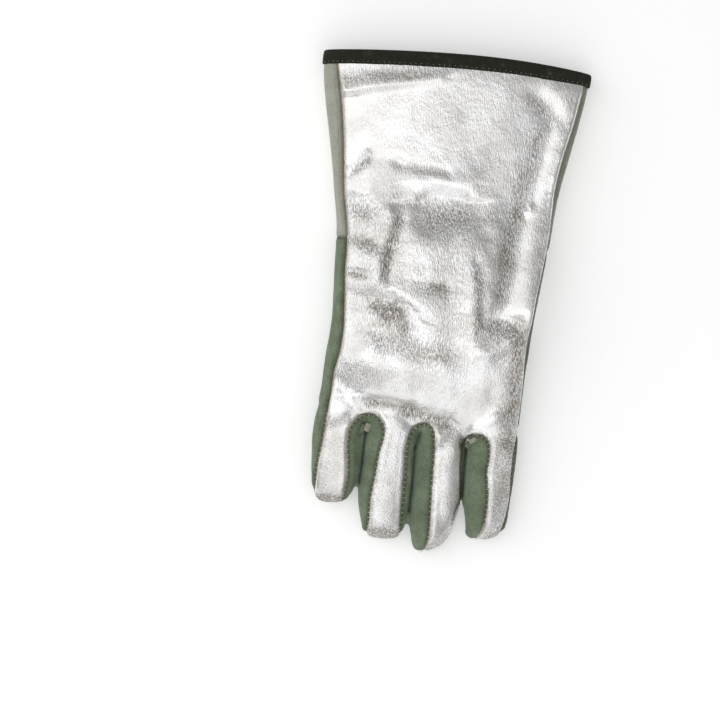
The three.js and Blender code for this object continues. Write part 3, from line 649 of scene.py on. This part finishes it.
def rise_of(lines, x, y, stray=STRAY["by"]):
    """Sum of all lines' rises at a place in plan, where each line strays a little from straight."""
    x += stray * noise.noise(Vector((x / STRAY["scale"], y / STRAY["scale"], STRAY["across_seed"])))
    y += stray * noise.noise(Vector((x / STRAY["scale"], y / STRAY["scale"], STRAY["along_seed"])))
    total = 0
    for line in lines:
        off = off_line(x, y, line)[0]
        turn = (line["x2"] - line["x1"]) * (y - line["y1"]) - (line["y2"] - line["y1"]) * (x - line["x1"])
        reach = line["left"] if turn > 0 else line["right"]
        if off < REACHES * reach:
            total += line["rise"] * bell(off, reach)
    return total


seam_points = [v for pair, run in seams for v in run]
seam_tree = KDTree(len(seam_points))
for i, vert in enumerate(seam_points):
    seam_tree.insert(vert.co, i)
seam_tree.balance()
run_length = []
flatness = []
CUFF = PIECES.index("cuff_leather")
for pair, run in seams:
    flatness += [PRESSED_FLAT if CUFF in pair and BACK not in pair else 1.0] * len(run)
    length = 0
    for i, vert in enumerate(run):
        length += (vert.co - run[i - 1].co).length / MM if i else 0
        run_length.append(length)
skin.normal_update()
shifts = {}
for vert in skin.verts:
    spot = vert.co / MM - TO_FRAME
    off_mouth = from_mouth(spot.x, spot.y)
    calm = smooth(off_mouth, *FADE_IN["creases_from_mouth"])
    nearest, off = seam_tree.find(vert.co)[1:]
    off /= MM
    vert[to_seam] = off
    up = smooth(vert.normal.z, *FADE_IN["facing_up"]) * smooth(spot.z, *FADE_IN["back_height"])
    fold = rise_of(FINGER_FOLDS, spot.x, spot.y, 0) * smooth(spot.z, *FADE_IN["fold_height"])
    # How much painted shade the leather gets deep between two fingers
    vert[fold_shade] = clamp(-fold / DEEPEST_FOLD)
    # Wear of the foil, which also places painted shade and dark reflections on it
    vert[worn_and_shaded] = clamp(rise_of(WEAR_AND_SHADE, spot.x, spot.y) * smooth(spot.z, *FADE_IN["wear_and_shade_height"]))
    away, share = off_line(spot.x, spot.y, SHOULDER)
    reach = SHOULDER["left"] if spot.x < mix(SHOULDER["x1"], SHOULDER["x2"], share) else SHOULDER["right"]
    shoulder = mix(SHOULDER["rise"], SHOULDER["rise_end"], share) * bell(away, reach)
    shoulder *= smooth(off_mouth, *FADE_IN["shoulder_from_mouth"])
    rise = up * (calm * rise_of(CREASES, spot.x, spot.y) + shoulder) + fold
    soft = 0
    for wave in WAVES:
        at = Vector((spot.x / wave["x"], spot.y / wave["y"], spot.z / wave["z"] + wave["seed"]))
        soft += noise.noise(at) * wave["high"]
    soft *= 1 - CALMER * max(smooth(spot.y, *FADE_IN["calmer_y"]), smooth(spot.x, *FADE_IN["calmer_x"]))
    valley = VALLEY["roll"] * bell(off - VALLEY["roll_at"], VALLEY["roll_width"])
    valley -= VALLEY["deep"] * bell(off, VALLEY["width"])
    turns = run_length[nearest] / VALLEY["pitch"]
    uneven = VALLEY["uneven"] * noise.noise(vert.co * VALLEY["uneven_scale"])
    pucker = VALLEY["pucker"] * math.cos(2 * math.pi * turns + uneven)
    valley += pucker * bell(off - VALLEY["pucker_at"], VALLEY["pucker_width"])
    valley *= flatness[nearest]
    lifted = smooth(spot.z, *FADE_IN["height_off_table"]) if vert.normal.z < 0 else 1
    shifts[vert] = vert.normal * ((soft + valley) * calm * lifted) + Vector((0, 0, rise))
for vert, shift in shifts.items():
    vert.co += shift * MM
relax(skin, skin.verts, factor=0.3)
for vert in skin.verts:
    vert.co.z = max(vert.co.z, LYING * MM)
skin.normal_update()
skin_tree = BVHTree.FromBMesh(skin)

# Aluminized back
# Foil bonded to a woven cloth, cut as one panel for hand, cuff and finger strips and sewn to the leather.
# The thumb has a piece of its own. The foil crinkles along the cloth's ribs, and is pebbled on the fingers.
FOIL_WALL = 1.6
# The cloth's ribs are about 0.5 mm apart. The crinkles and pebbles are drawn wider so that they show.
CRINKLE_WIDE = 0.85
CRINKLE_LONG = 3.0
PEBBLE = 1.25
RIPPLES_PER_METRE = 100.0
TARNISH_PER_METRE = 45.0


def panel(name, index, thickness, outside, inside):
    """One piece of the skin as an object of its own, with its wall drawn inwards."""
    bm = skin.copy()
    layer = bm.faces.layers.int["piece"]
    bmesh.ops.delete(bm, geom=[f for f in bm.faces if f[layer] != index], context="FACES")
    piece = new_piece(name, bm, outside, inside)
    wall = piece.modifiers.new("wall", "SOLIDIFY")
    wall.thickness = thickness * MM
    wall.offset = -1
    wall.material_offset = 1
    return piece


def linear(hex_colour):
    """An sRGB hex colour as the linear colour that a shader takes."""
    found = [int(hex_colour[i:i + 2], 16) / 255 for i in (1, 3, 5)]
    return [c / 12.92 if c <= 0.04045 else ((c + 0.055) / 1.055) ** 2.4 for c in found] + [1.0]


def new_material(name):
    material = bpy.data.materials.new(name)
    material.use_nodes = True
    material.node_tree.nodes.clear()
    return material, material.node_tree


def add_node(tree, kind, inputs, output=0, stops=(), **settings):
    """Adds a node and gives its output. An input is a value, a hex colour or a socket to link from."""
    node = tree.nodes.new("ShaderNode" + kind)
    for name, value in settings.items():
        setattr(node, name, value)
    for name, value in inputs.items():
        if isinstance(value, bpy.types.NodeSocket):
            tree.links.new(value, node.inputs[name])
        else:
            node.inputs[name].default_value = linear(value) if isinstance(value, str) else value
    for i, (at, colour) in enumerate(stops):
        if i > 1:
            node.color_ramp.elements.new(at)
        node.color_ramp.elements[i].position = at
        node.color_ramp.elements[i].color = linear(colour)
    return node.outputs[output] if len(node.outputs) else None


# Foil on cloth: a bright metal with a soft sheen, whose fine crinkles break reflections into bright grains.
# Where it is worn the crinkles are deeper. Grey in the crinkles' hollows is partly real cracks and dirt and
# partly painted shade. It is strongest in the worn patches, which also carry painted dark reflections. Its
# raw edge shows a line of brownish cloth.
# A Mix node's colours are its inputs 6 and 7, and the mixed colour is its output 2.
aluminized, foil = new_material("aluminized_cloth")
place = add_node(foil, "TexCoord", {}, "Object")
along = add_node(foil, "Mapping", {
    "Vector": place, "Scale": (1 / CRINKLE_WIDE / MM, 1 / CRINKLE_LONG / MM, 1 / CRINKLE_WIDE / MM),
})
crinkle = add_node(foil, "TexNoise", {
    "Vector": along, "Scale": 1.0, "Detail": 2.0, "Roughness": 0.55, "Distortion": 0.25,
}, "Fac")
pebble = add_node(foil, "TexNoise", {
    "Vector": place, "Scale": 1 / PEBBLE / MM, "Detail": 3.0, "Roughness": 0.65,
}, "Fac")
spot_x = add_node(foil, "SeparateXYZ", {"Vector": place}, "X")
spot_y = add_node(foil, "SeparateXYZ", {"Vector": place}, "Y")
fingers = add_node(foil, "MapRange", {"Value": spot_y, "From Min": -0.075, "From Max": -0.1})
grain = add_node(foil, "Mix", {"Factor": fingers, "A": crinkle, "B": pebble}, data_type="FLOAT")
wear_and_shade = add_node(foil, "Attribute", {}, "Fac", attribute_name="worn_and_shaded")
ripple = add_node(foil, "TexNoise", {
    "Vector": place, "Scale": RIPPLES_PER_METRE, "Detail": 3.0, "Roughness": 0.6,
}, "Fac")
uneven = add_node(foil, "MapRange", {"Value": wear_and_shade, "From Max": 0.35, "To Min": 0.6})
bend = add_node(foil, "Bump", {"Height": ripple, "Strength": uneven, "Distance": 0.0005})
harsh = add_node(foil, "MapRange", {"Value": wear_and_shade, "To Min": 0.27, "To Max": 1.25})
bump = add_node(foil, "Bump", {"Height": grain, "Strength": harsh, "Distance": 0.0009, "Normal": bend})
tarnish = add_node(foil, "TexNoise", {"Vector": place, "Scale": TARNISH_PER_METRE, "Detail": 3.0}, "Fac")
tint = add_node(foil, "ValToRGB", {"Fac": tarnish}, stops=[
    (0.36, "#dddbd8"), (0.5, "#e9e8e6"), (0.62, "#f1f1f2"),
])
# Grey in the crinkles' hollows: partly real cracks and dirt, partly painted shade and dark reflection,
# stronger where the foil is worn
hollow_level = add_node(foil, "Math", {0: wear_and_shade, 1: -0.11, 2: grain}, operation="MULTIPLY_ADD")
cracks_and_shade = add_node(foil, "MapRange", {
    "Value": hollow_level, "From Min": 0.34, "From Max": 0.5, "To Min": 1.0, "To Max": 0.0,
})
grey_strength = add_node(foil, "MapRange", {"Value": wear_and_shade, "To Min": 0.06, "To Max": 0.95})
grey_in_hollows = add_node(foil, "Math", {0: cracks_and_shade, 1: grey_strength}, operation="MULTIPLY")
greyed_tint = add_node(foil, "Mix", {"Factor": grey_in_hollows, 6: tint, 7: "#8f887d"}, 2, data_type="RGBA")
off_seam = add_node(foil, "Attribute", {}, "Fac", attribute_name="to_seam")
near = add_node(foil, "MapRange", {
    "Value": off_seam, "From Min": 0.5, "From Max": 1.7, "To Min": 1.0, "To Max": 0.0,
})
outer = add_node(foil, "MapRange", {
    "Value": spot_x, "From Min": -0.058, "From Max": -0.048, "To Min": 0.9, "To Max": 0.35,
})
raw = add_node(foil, "Math", {0: near, 1: outer}, operation="MULTIPLY")
metal = add_node(foil, "Math", {0: 1.0, 1: raw}, operation="SUBTRACT")
colour = add_node(foil, "Mix", {"Factor": raw, 6: greyed_tint, 7: "#d2b49b"}, 2, data_type="RGBA")
rough = add_node(foil, "MapRange", {
    "Value": grain, "From Min": 0.35, "From Max": 0.65, "To Min": 0.24, "To Max": 0.16,
})
sheen = add_node(foil, "BsdfPrincipled", {
    "Base Color": colour, "Metallic": metal, "Roughness": rough, "Normal": bump,
})
add_node(foil, "OutputMaterial", {"Surface": sheen})

# The cloth under the foil: undyed plain-woven cotton, seen only inside the mouth, matt.
# Its threads, half a millimetre apart, are drawn at 0.9 mm so that the weave shows.
THREAD = 0.9
cotton, weave = new_material("undyed_cotton_cloth")
place = add_node(weave, "TexCoord", {}, "Object")
waves = []
for direction in ("X", "Y"):
    waves.append(add_node(weave, "TexWave", {
        "Vector": place, "Scale": math.pi / 10 / THREAD / MM, "Distortion": 0.6,
    }, "Fac", bands_direction=direction))
woven = add_node(weave, "Math", {0: waves[0], 1: waves[1]}, operation="MULTIPLY")
colour = add_node(weave, "ValToRGB", {"Fac": woven}, stops=[(0.0, "#b9b3a4"), (0.6, "#d8d3c6")])
bump = add_node(weave, "Bump", {"Height": woven, "Strength": 0.8, "Distance": 0.0003})
matt = add_node(weave, "BsdfPrincipled", {"Base Color": colour, "Roughness": 0.95, "Normal": bump})
add_node(weave, "OutputMaterial", {"Surface": matt})

for name, piece_name in [("aluminized_back", "back_shell"), ("aluminized_thumb", "thumb_back")]:
    foil_panel = panel(name, PIECES.index(piece_name), FOIL_WALL, aluminized, cotton)
    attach(foil_panel, "root")
    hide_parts(piece_name)

# Green suede palm, fingers and thumb
# Split cowhide dyed grey green, rough side out, about 2 mm thick, sewn inside out and turned.
# The palm has the little and index fingers' fronts in one piece, and strips of it close the fingers' sides.
SUEDE_WALL = 2.0
# The nap's tufts are some tenths of a millimetre wide, and are drawn wider so that they show
NAP = 0.9
DYE_CLOUDS_PER_METRE = 70.0
PRESSED_AT = 3.2


def split_suede(name, dark, plain, light, pressed=0.0):
    """Rough-side-out split leather: no gloss, a short nap that catches light, cloudy dye and darker pores.

    It has painted shade deep between two fingers and painted shade along its seams, reaching furthest on the
    thumb side, which faces away from the key light.
    """
    material, hide = new_material(name)
    place = add_node(hide, "TexCoord", {}, "Object")
    cloud = add_node(hide, "TexNoise", {
        "Vector": place, "Scale": DYE_CLOUDS_PER_METRE, "Detail": 6.0, "Roughness": 0.7,
    }, "Fac")
    nap = add_node(hide, "TexNoise", {
        "Vector": place, "Scale": 1 / NAP / MM, "Detail": 4.0, "Roughness": 0.8,
    }, "Fac")
    blend = add_node(hide, "Mix", {"Factor": 0.6, "A": cloud, "B": nap}, data_type="FLOAT")
    dye = add_node(hide, "ValToRGB", {"Fac": blend}, stops=[(0.36, dark), (0.5, plain), (0.64, light)])
    # Painted shade deep between two fingers: the dye turns nearly black green there
    fold = add_node(hide, "Attribute", {}, "Fac", attribute_name="fold_shade")
    fold_shade_mix = add_node(hide, "MapRange", {"Value": fold, "To Max": 0.8})
    colour = add_node(hide, "Mix", {"Factor": fold_shade_mix, 6: dye, 7: "#232a22"}, 2, data_type="RGBA")
    # Painted shade along the seams, reaching furthest on the thumb side, which faces away from the key light
    off_seam = add_node(hide, "Attribute", {}, "Fac", attribute_name="to_seam")
    spot_x = add_node(hide, "SeparateXYZ", {"Vector": place}, "X")
    reach = add_node(hide, "MapRange", {
        "Value": spot_x, "From Min": 0.05, "From Max": 0.058, "To Min": 2.6, "To Max": 7.0,
    })
    seam_shade = add_node(hide, "MapRange", {
        "Value": off_seam, "From Min": 0.6, "From Max": reach, "To Min": 0.55, "To Max": 0.0,
    })
    colour = add_node(hide, "Mix", {"Factor": seam_shade, 6: colour, 7: "#383a30"}, 2, data_type="RGBA")
    line = add_node(hide, "Math", {0: off_seam, 1: PRESSED_AT, 2: 0.35}, operation="COMPARE")
    shade = add_node(hide, "Math", {0: line, 1: pressed}, operation="MULTIPLY")
    colour = add_node(hide, "Mix", {"Factor": shade, 6: colour, 7: "#79796b"}, 2, data_type="RGBA")
    soft = add_node(hide, "Bump", {"Height": cloud, "Strength": 1.0, "Distance": 0.001})
    bump = add_node(hide, "Bump", {"Height": nap, "Strength": 1.0, "Distance": 0.0004, "Normal": soft})
    shader = add_node(hide, "BsdfPrincipled", {
        "Base Color": colour, "Roughness": 0.92, "Specular IOR Level": 0.25, "Sheen Weight": 0.25,
        "Sheen Roughness": 0.5, "Normal": bump,
    })
    add_node(hide, "OutputMaterial", {"Surface": shader})
    return material


green_suede = split_suede("green_split_suede", "#53604a", "#6f7d65", "#929e87")
for name, piece_name in [
    ("suede_palm", "palm_leather"),
    ("suede_middle_ring_front", "middle_ring_front"),
    ("suede_side_little_ring", "fourchette_little_ring"),
    ("suede_side_ring_middle", "fourchette_ring_middle"),
    ("suede_side_middle_index", "fourchette_middle_index"),
    ("suede_thumb_front", "thumb_front"),
]:
    leather = panel(name, PIECES.index(piece_name), SUEDE_WALL, green_suede, green_suede)
    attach(leather, "root")
    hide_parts(*LEATHER_PIECES[piece_name])

# Pale grey suede cuff
# Undyed split cowhide, one piece under the forearm, wrapped a little way over both sides to the back's seams.
# The seams' allowances press a faint line through it.
grey_suede = split_suede("grey_split_suede", "#929281", "#acaca0", "#c2c2b6", 0.35)
cuff = panel("suede_cuff", CUFF, SUEDE_WALL, grey_suede, grey_suede)
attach(cuff, "root")
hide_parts("cuff_leather")

# Welts
# Strips of pale grey leather folded double and sewn into the seams that wear most.
# They stand a little proud: along the thumb side, round the thumb, under two fingers and at the index tip.
WELT = {"half": 1.0, "proud": 0.6, "deep": 1.4, "step": 2.0, "off_seam": 6.0}
# The side welt counts as lying 1 mm from its seam, so it gets the leather's painted seam shade
SIDE_WELT = {**WELT, "proud": 0.15, "off_seam": 1.0}
SHORTEST_WELT = 6
STRIP_ROUND = 0.7
STRIP_TAPER = (0.55, 0.9, 1.0)
# Where along their seams the index tip's welt and the thumb side's welt lie
INDEX_TIP = {"x": 30, "y_below": -157}
THUMB_SIDE = {"x": 40, "y_from": -52, "y_to": 165}


def even_path(points, step):
    """Places and normals every step millimetres along a run of the skin's points."""
    lengths = [0.0]
    for a, b in zip(points, points[1:]):
        lengths.append(lengths[-1] + (b.co - a.co).length / MM)
    count = max(2, round(lengths[-1] / step))
    path = []
    i = 0
    for k in range(count + 1):
        at = lengths[-1] * k / count
        while i < len(lengths) - 2 and lengths[i + 1] < at:
            i += 1
        t = clamp((at - lengths[i]) / max(1e-6, lengths[i + 1] - lengths[i]))
        a, b = points[i], points[i + 1]
        path.append((a.co.lerp(b.co, t) / MM - TO_FRAME, a.normal.lerp(b.normal, t)))
    for _ in range(2):
        path = [path[0], *(
            (b[0].lerp((a[0] + c[0]) / 2, 0.5), (a[1] + b[1] + c[1]).normalized())
            for a, b, c in zip(path, path[1:], path[2:])
        ), path[-1]]
    return path


def strip_sections(path, half, proud, deep, count=10):
    """Rounded sections of a strip that follows a path, tapered at both ends."""
    sections = []
    for k, (point, normal) in enumerate(path):
        ahead = (path[min(k + 1, len(path) - 1)][0] - path[max(k - 1, 0)][0]).normalized()
        side = ahead.cross(normal).normalized()
        size = STRIP_TAPER[min(k, len(path) - 1 - k, len(STRIP_TAPER) - 1)]
        ring = []
        for j in range(count):
            angle = 2 * math.pi * j / count
            across = powered(math.cos(angle), STRIP_ROUND) * half * size
            up = powered(math.sin(angle), STRIP_ROUND)
            spot = point + side * across + normal * (up * (proud if up > 0 else deep) * size)
            ring.append(Vector((spot.x, spot.y, max(spot.z, LYING))))
        sections.append(ring)
    return sections


def away_from_seam(bm, away):
    """Marks all of a separate strip or flap of leather as lying this many millimetres from a seam, which sets
    how much painted seam shade it gets.
    """
    layer = bm.verts.layers.float.new("to_seam")
    for vert in bm.verts:
        vert[layer] = away


PALM = PIECES.index("palm_leather")
welt_runs = {"side_welt": [], "index_tip_welt": [], "thumb_welt": [], "finger_welt": []}
thumb_side_run = []
for pair, run in seams:
    placed = [(v, v.co / MM - TO_FRAME) for v in run]
    if PIECES.index("thumb_back") in pair:
        welt_runs["thumb_welt"].append(run)
    elif set(pair) == {PALM, PIECES.index("middle_ring_front")}:
        welt_runs["finger_welt"].append(run)
    elif set(pair) == {BACK, PIECES.index("fourchette_middle_index")}:
        at_tip = [v for v, spot in placed if spot.y < INDEX_TIP["y_below"] and spot.x > INDEX_TIP["x"]]
        welt_runs["index_tip_welt"].append(at_tip)
    elif set(pair) in ({BACK, PALM}, {BACK, CUFF}):
        thumb_side_run += [
            v for v, spot in placed
            if spot.x > THUMB_SIDE["x"] and THUMB_SIDE["y_from"] < spot.y < THUMB_SIDE["y_to"]
        ]
welt_runs["side_welt"].append(sorted(thumb_side_run, key=lambda v: v.co.y))
for name, runs in welt_runs.items():
    bm = bmesh.new()
    size = SIDE_WELT if name == "side_welt" else WELT
    for run in runs:
        if len(run) >= SHORTEST_WELT:
            loft(bm, strip_sections(even_path(run, size["step"]), size["half"], size["proud"], size["deep"]))
    away_from_seam(bm, size["off_seam"])
    bmesh.ops.recalc_face_normals(bm, faces=bm.faces)
    welt = new_piece("suede_" + name, bm, grey_suede)
    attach(welt, "root")
    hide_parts(name)

# Tabs in the finger crotches
# Where two side strips meet at the bottom of an arch, their turned ends stick up as a short folded flap.
# The pale grey end lies beside a folded green one, and both are held by the seam under them.
TAB = {"wall": 1.4, "slope": 0.8, "off_seam": 2.4}
# The grey flap and then the green one
TABS = {
    "crotch_tab_little_ring": [(-44.9, -94.4, 16, 4.6, 6, 2, 0.9), (-48.4, -95.8, 30, 5, 7, 1.9, 2)],
    "crotch_tab_middle_index": [(30.6, -98.2, 58, 3.8, 5.8, 1.6, 0.9), (28.4, -101.4, 52, 4.4, 6, 1.4, 1.7)],
}
ABOVE_ALL = 90
for name, flaps in TABS.items():
    bm = bmesh.new()
    for slot, flap in enumerate(rows_of("x y turn wide long lift curl", flaps)):
        verts = bmesh.ops.create_grid(bm, x_segments=4, y_segments=5, size=0.5)["verts"]
        for face in {f for v in verts for f in v.link_faces}:
            face.material_index = slot
        x, y = flap["x"] + TO_FRAME.x, flap["y"] + TO_FRAME.y
        ground = skin_tree.ray_cast(Vector((x, y, ABOVE_ALL)) * MM, Vector((0, 0, -1)))[0].z / MM
        angle = math.radians(flap["turn"])
        cos, sin = math.cos(angle), math.sin(angle)
        for vert in verts:
            u, v = vert.co.x * flap["wide"], vert.co.y * flap["long"]
            height = flap["lift"] + flap["curl"] * math.cos(math.pi * vert.co.x) - TAB["slope"] * vert.co.y
            vert.co = Vector((x + u * cos + v * sin, y - u * sin + v * cos, ground + height)) * MM
    away_from_seam(bm, TAB["off_seam"])
    tab = new_piece("suede_" + name, bm, grey_suede, green_suede)
    wall = tab.modifiers.new("wall", "SOLIDIFY")
    wall.thickness = TAB["wall"] * MM
    wall.offset = -1
    soften = tab.modifiers.new("soften", "SUBSURF")
    soften.levels = soften.render_levels = 2
    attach(tab, "root")
    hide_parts(name)

# Stitches and thread ends
# Heavy pale thread, whose stitches show as short ticks across the finger seams where the panels pull apart.
# A cut end of it is left at the middle finger's tip.
TICK = {"pitch": 3.7, "half": 0.95, "radius": 0.3, "above": 0.35}
# The ticks show on the fingers, but not where the middle finger's strip rolls over its seam
TICKS_BELOW_Y = -84
ROLLED_OVER = {"xs": (15, 27), "y_below": -99}
THREAD_END = [(2.6, -176.6, 13.5), (1.6, -178.6, 13.8), (0.2, -180.4, 12.6), (-0.6, -181.6, 10.6)]
END_RADIUS = 0.35
# Spun thread: matt and pale. Its twist is too fine to show, so it is drawn as a mottled colour
MOTTLES_PER_METRE = 900.0
thread, spun = new_material("spun_cotton_thread")
place = add_node(spun, "TexCoord", {}, "Object")
twist = add_node(spun, "TexNoise", {"Vector": place, "Scale": MOTTLES_PER_METRE, "Detail": 2.0}, "Fac")
colour = add_node(spun, "ValToRGB", {"Fac": twist}, stops=[(0.35, "#a9ab86"), (0.65, "#dcdcc6")])
matt = add_node(spun, "BsdfPrincipled", {"Base Color": colour, "Roughness": 0.8})
add_node(spun, "OutputMaterial", {"Surface": matt})


def tick(bm, point, along, across, normal, size):
    """One stitch: a short rounded bar in the frame's millimetres."""
    axes = (across * size["half"] * MM, along * size["radius"] * MM, normal * size["radius"] * MM)
    turn = Matrix(axes).transposed().to_4x4()
    turn.translation = (point + TO_FRAME) * MM
    bmesh.ops.create_uvsphere(bm, u_segments=6, v_segments=5, radius=1, matrix=turn)


bm = bmesh.new()
for pair, run in seams:
    if BACK in pair and CUFF not in pair:
        path = even_path(run, TICK["pitch"])
        for (before, _), (point, normal), (after, _) in zip(path, path[1:], path[2:]):
            x_from, x_to = ROLLED_OVER["xs"]
            rolled = x_from < point.x < x_to and point.y < ROLLED_OVER["y_below"]
            if point.y < TICKS_BELOW_Y and not rolled:
                along = (after - before).normalized()
                across = along.cross(normal).normalized()
                tick(bm, point + normal * TICK["above"], along, across, normal, TICK)
end_path = [(Vector(point), Vector((0, 0, 1))) for point in THREAD_END]
loft(bm, strip_sections(end_path, END_RADIUS, END_RADIUS, END_RADIUS, 6))
bmesh.ops.recalc_face_normals(bm, faces=bm.faces)
stitches = new_piece("seam_stitches", bm, thread)
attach(stitches, "root")

# Binding of the mouth
# Black woven tape, folded over the raw edges of cloth and leather all round the mouth and sewn through.
# One row of pale machine stitches runs near its lower edge.
TAPE_EDGE = -10
BINDING_PROFILE = [
    (-10, -0.3), (-9.8, -1.1), (-8.6, -1.35), (-1.4, -1.4), (0.2, -0.7), (0.9, 0.9), (0.4, 2.6), (-1, 3.3),
    (-9.4, 3.3), (-9.8, 2.4),
]
BINDING_POINTS = 200
# The tape's edge wavers: the waves' lengths and heights, and where down the tape they begin
WAVERS = ((14, 0.35), (4, 0.15))
WAVER_FROM = (6, 14)
ROW = {"from_edge": 1.7, "inset": -1.45, "points": 600, "pitch": 3.4, "half": 0.4, "radius": 0.15}
# Woven cotton tape: matt black with a faint rib across and dusty grey wear where it is rubbed
RIB = 0.8
DUST_PER_METRE = 160.0
tape, band = new_material("black_woven_tape")
place = add_node(band, "TexCoord", {}, "Object")
rib = add_node(band, "TexWave", {
    "Vector": place, "Scale": math.pi / 10 / RIB / MM, "Distortion": 1.5, "Detail": 1.0,
}, "Fac", bands_direction="X")
dust = add_node(band, "TexNoise", {
    "Vector": place, "Scale": DUST_PER_METRE, "Detail": 5.0, "Roughness": 0.75,
}, "Fac")
colour = add_node(band, "ValToRGB", {"Fac": dust}, stops=[
    (0.35, "#1e1e17"), (0.58, "#2a2a21"), (0.75, "#50504a"),
])
bump = add_node(band, "Bump", {"Height": rib, "Strength": 0.7, "Distance": 0.0003})
woven = add_node(band, "BsdfPrincipled", {
    "Base Color": colour, "Roughness": 0.85, "Specular IOR Level": 0.3, "Normal": bump,
})
add_node(band, "OutputMaterial", {"Surface": woven})

bm = bmesh.new()
rings = [hand_section(MOUTH_Y + offset, inset, BINDING_POINTS) for offset, inset in BINDING_PROFILE]
loft(bm, [*rings, rings[0]], closed=False)
bmesh.ops.remove_doubles(bm, verts=bm.verts, dist=0.01 * MM)
bmesh.ops.recalc_face_normals(bm, faces=bm.faces)
for vert in bm.verts:
    spot = vert.co / MM
    waver = sum(noise.noise(spot / length) * high for length, high in WAVERS)
    vert.co.y += waver * MM * smooth(MOUTH_Y - spot.y, *WAVER_FROM)
binding = new_piece("woven_binding", bm, tape)
soften = binding.modifiers.new("soften", "SUBSURF")
soften.levels = soften.render_levels = 1
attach(binding, "root")
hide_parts("cuff_binding")

bm = bmesh.new()
row = [Vector(p) for p in hand_section(MOUTH_Y + TAPE_EDGE + ROW["from_edge"], ROW["inset"], ROW["points"])]
walked = 0
for before, point, after in zip(row, row[1:], row[2:]):
    walked += (point - before).length
    if walked > ROW["pitch"]:
        walked = 0
        along = (after - before).normalized()
        down_cuff = Vector((0, 1, 0))
        tick(bm, point, down_cuff, along, along.cross(down_cuff).normalized(), ROW)
binding_row = new_piece("binding_stitches", bm, thread)
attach(binding_row, "root")

# Table and light
# A plain white table, a large soft light high on the left, one overhead and a dimmer one by the fingertips.
# The grey room leaves darker places for the foil to reflect.
TABLE_HALF = 4.0
LIGHTS = [
    {"name": "key", "place": (-1.25, 0.25, 1.45), "size": (1.9, 2.6), "radiance": 0.78},
    {"name": "overhead", "place": (0.15, -0.5, 1.9), "size": (1.4, 1.9), "radiance": 0.73},
    {"name": "front", "place": (-0.3, -1.8, 1.1), "size": (2.2, 1.5), "radiance": 0.62},
]
ROOM = 0.41
world = bpy.data.worlds.new("grey_room")
bpy.context.scene.world = world
world.use_nodes = True
world.node_tree.nodes["Background"].inputs["Color"].default_value = linear("#ffffff")
world.node_tree.nodes["Background"].inputs["Strength"].default_value = ROOM
for light in LIGHTS:
    lamp = bpy.data.lights.new(light["name"], "AREA")
    lamp.shape = "RECTANGLE"
    lamp.size, lamp.size_y = light["size"]
    lamp.energy = light["radiance"] * math.pi * lamp.size * lamp.size_y
    stand = bpy.data.objects.new(light["name"], lamp)
    bpy.context.scene.collection.objects.link(stand)
    stand.location = light["place"]
    stand.rotation_euler = Vector(light["place"]).to_track_quat("Z", "Y").to_euler()
    stand.visible_camera = False
# Matt white paint, lit a little from below as a light table is
paint, table_top = new_material("matt_white_paint")
flat = add_node(table_top, "BsdfPrincipled", {
    "Base Color": "#fbfbfb", "Roughness": 0.9, "Emission Color": "#ffffff", "Emission Strength": 0.28,
})
add_node(table_top, "OutputMaterial", {"Surface": flat})
bm = bmesh.new()
bmesh.ops.create_grid(bm, x_segments=1, y_segments=1, size=TABLE_HALF)
table = new_piece("white_table", bm, paint)
bpy.context.scene.view_settings.view_transform = "Standard"
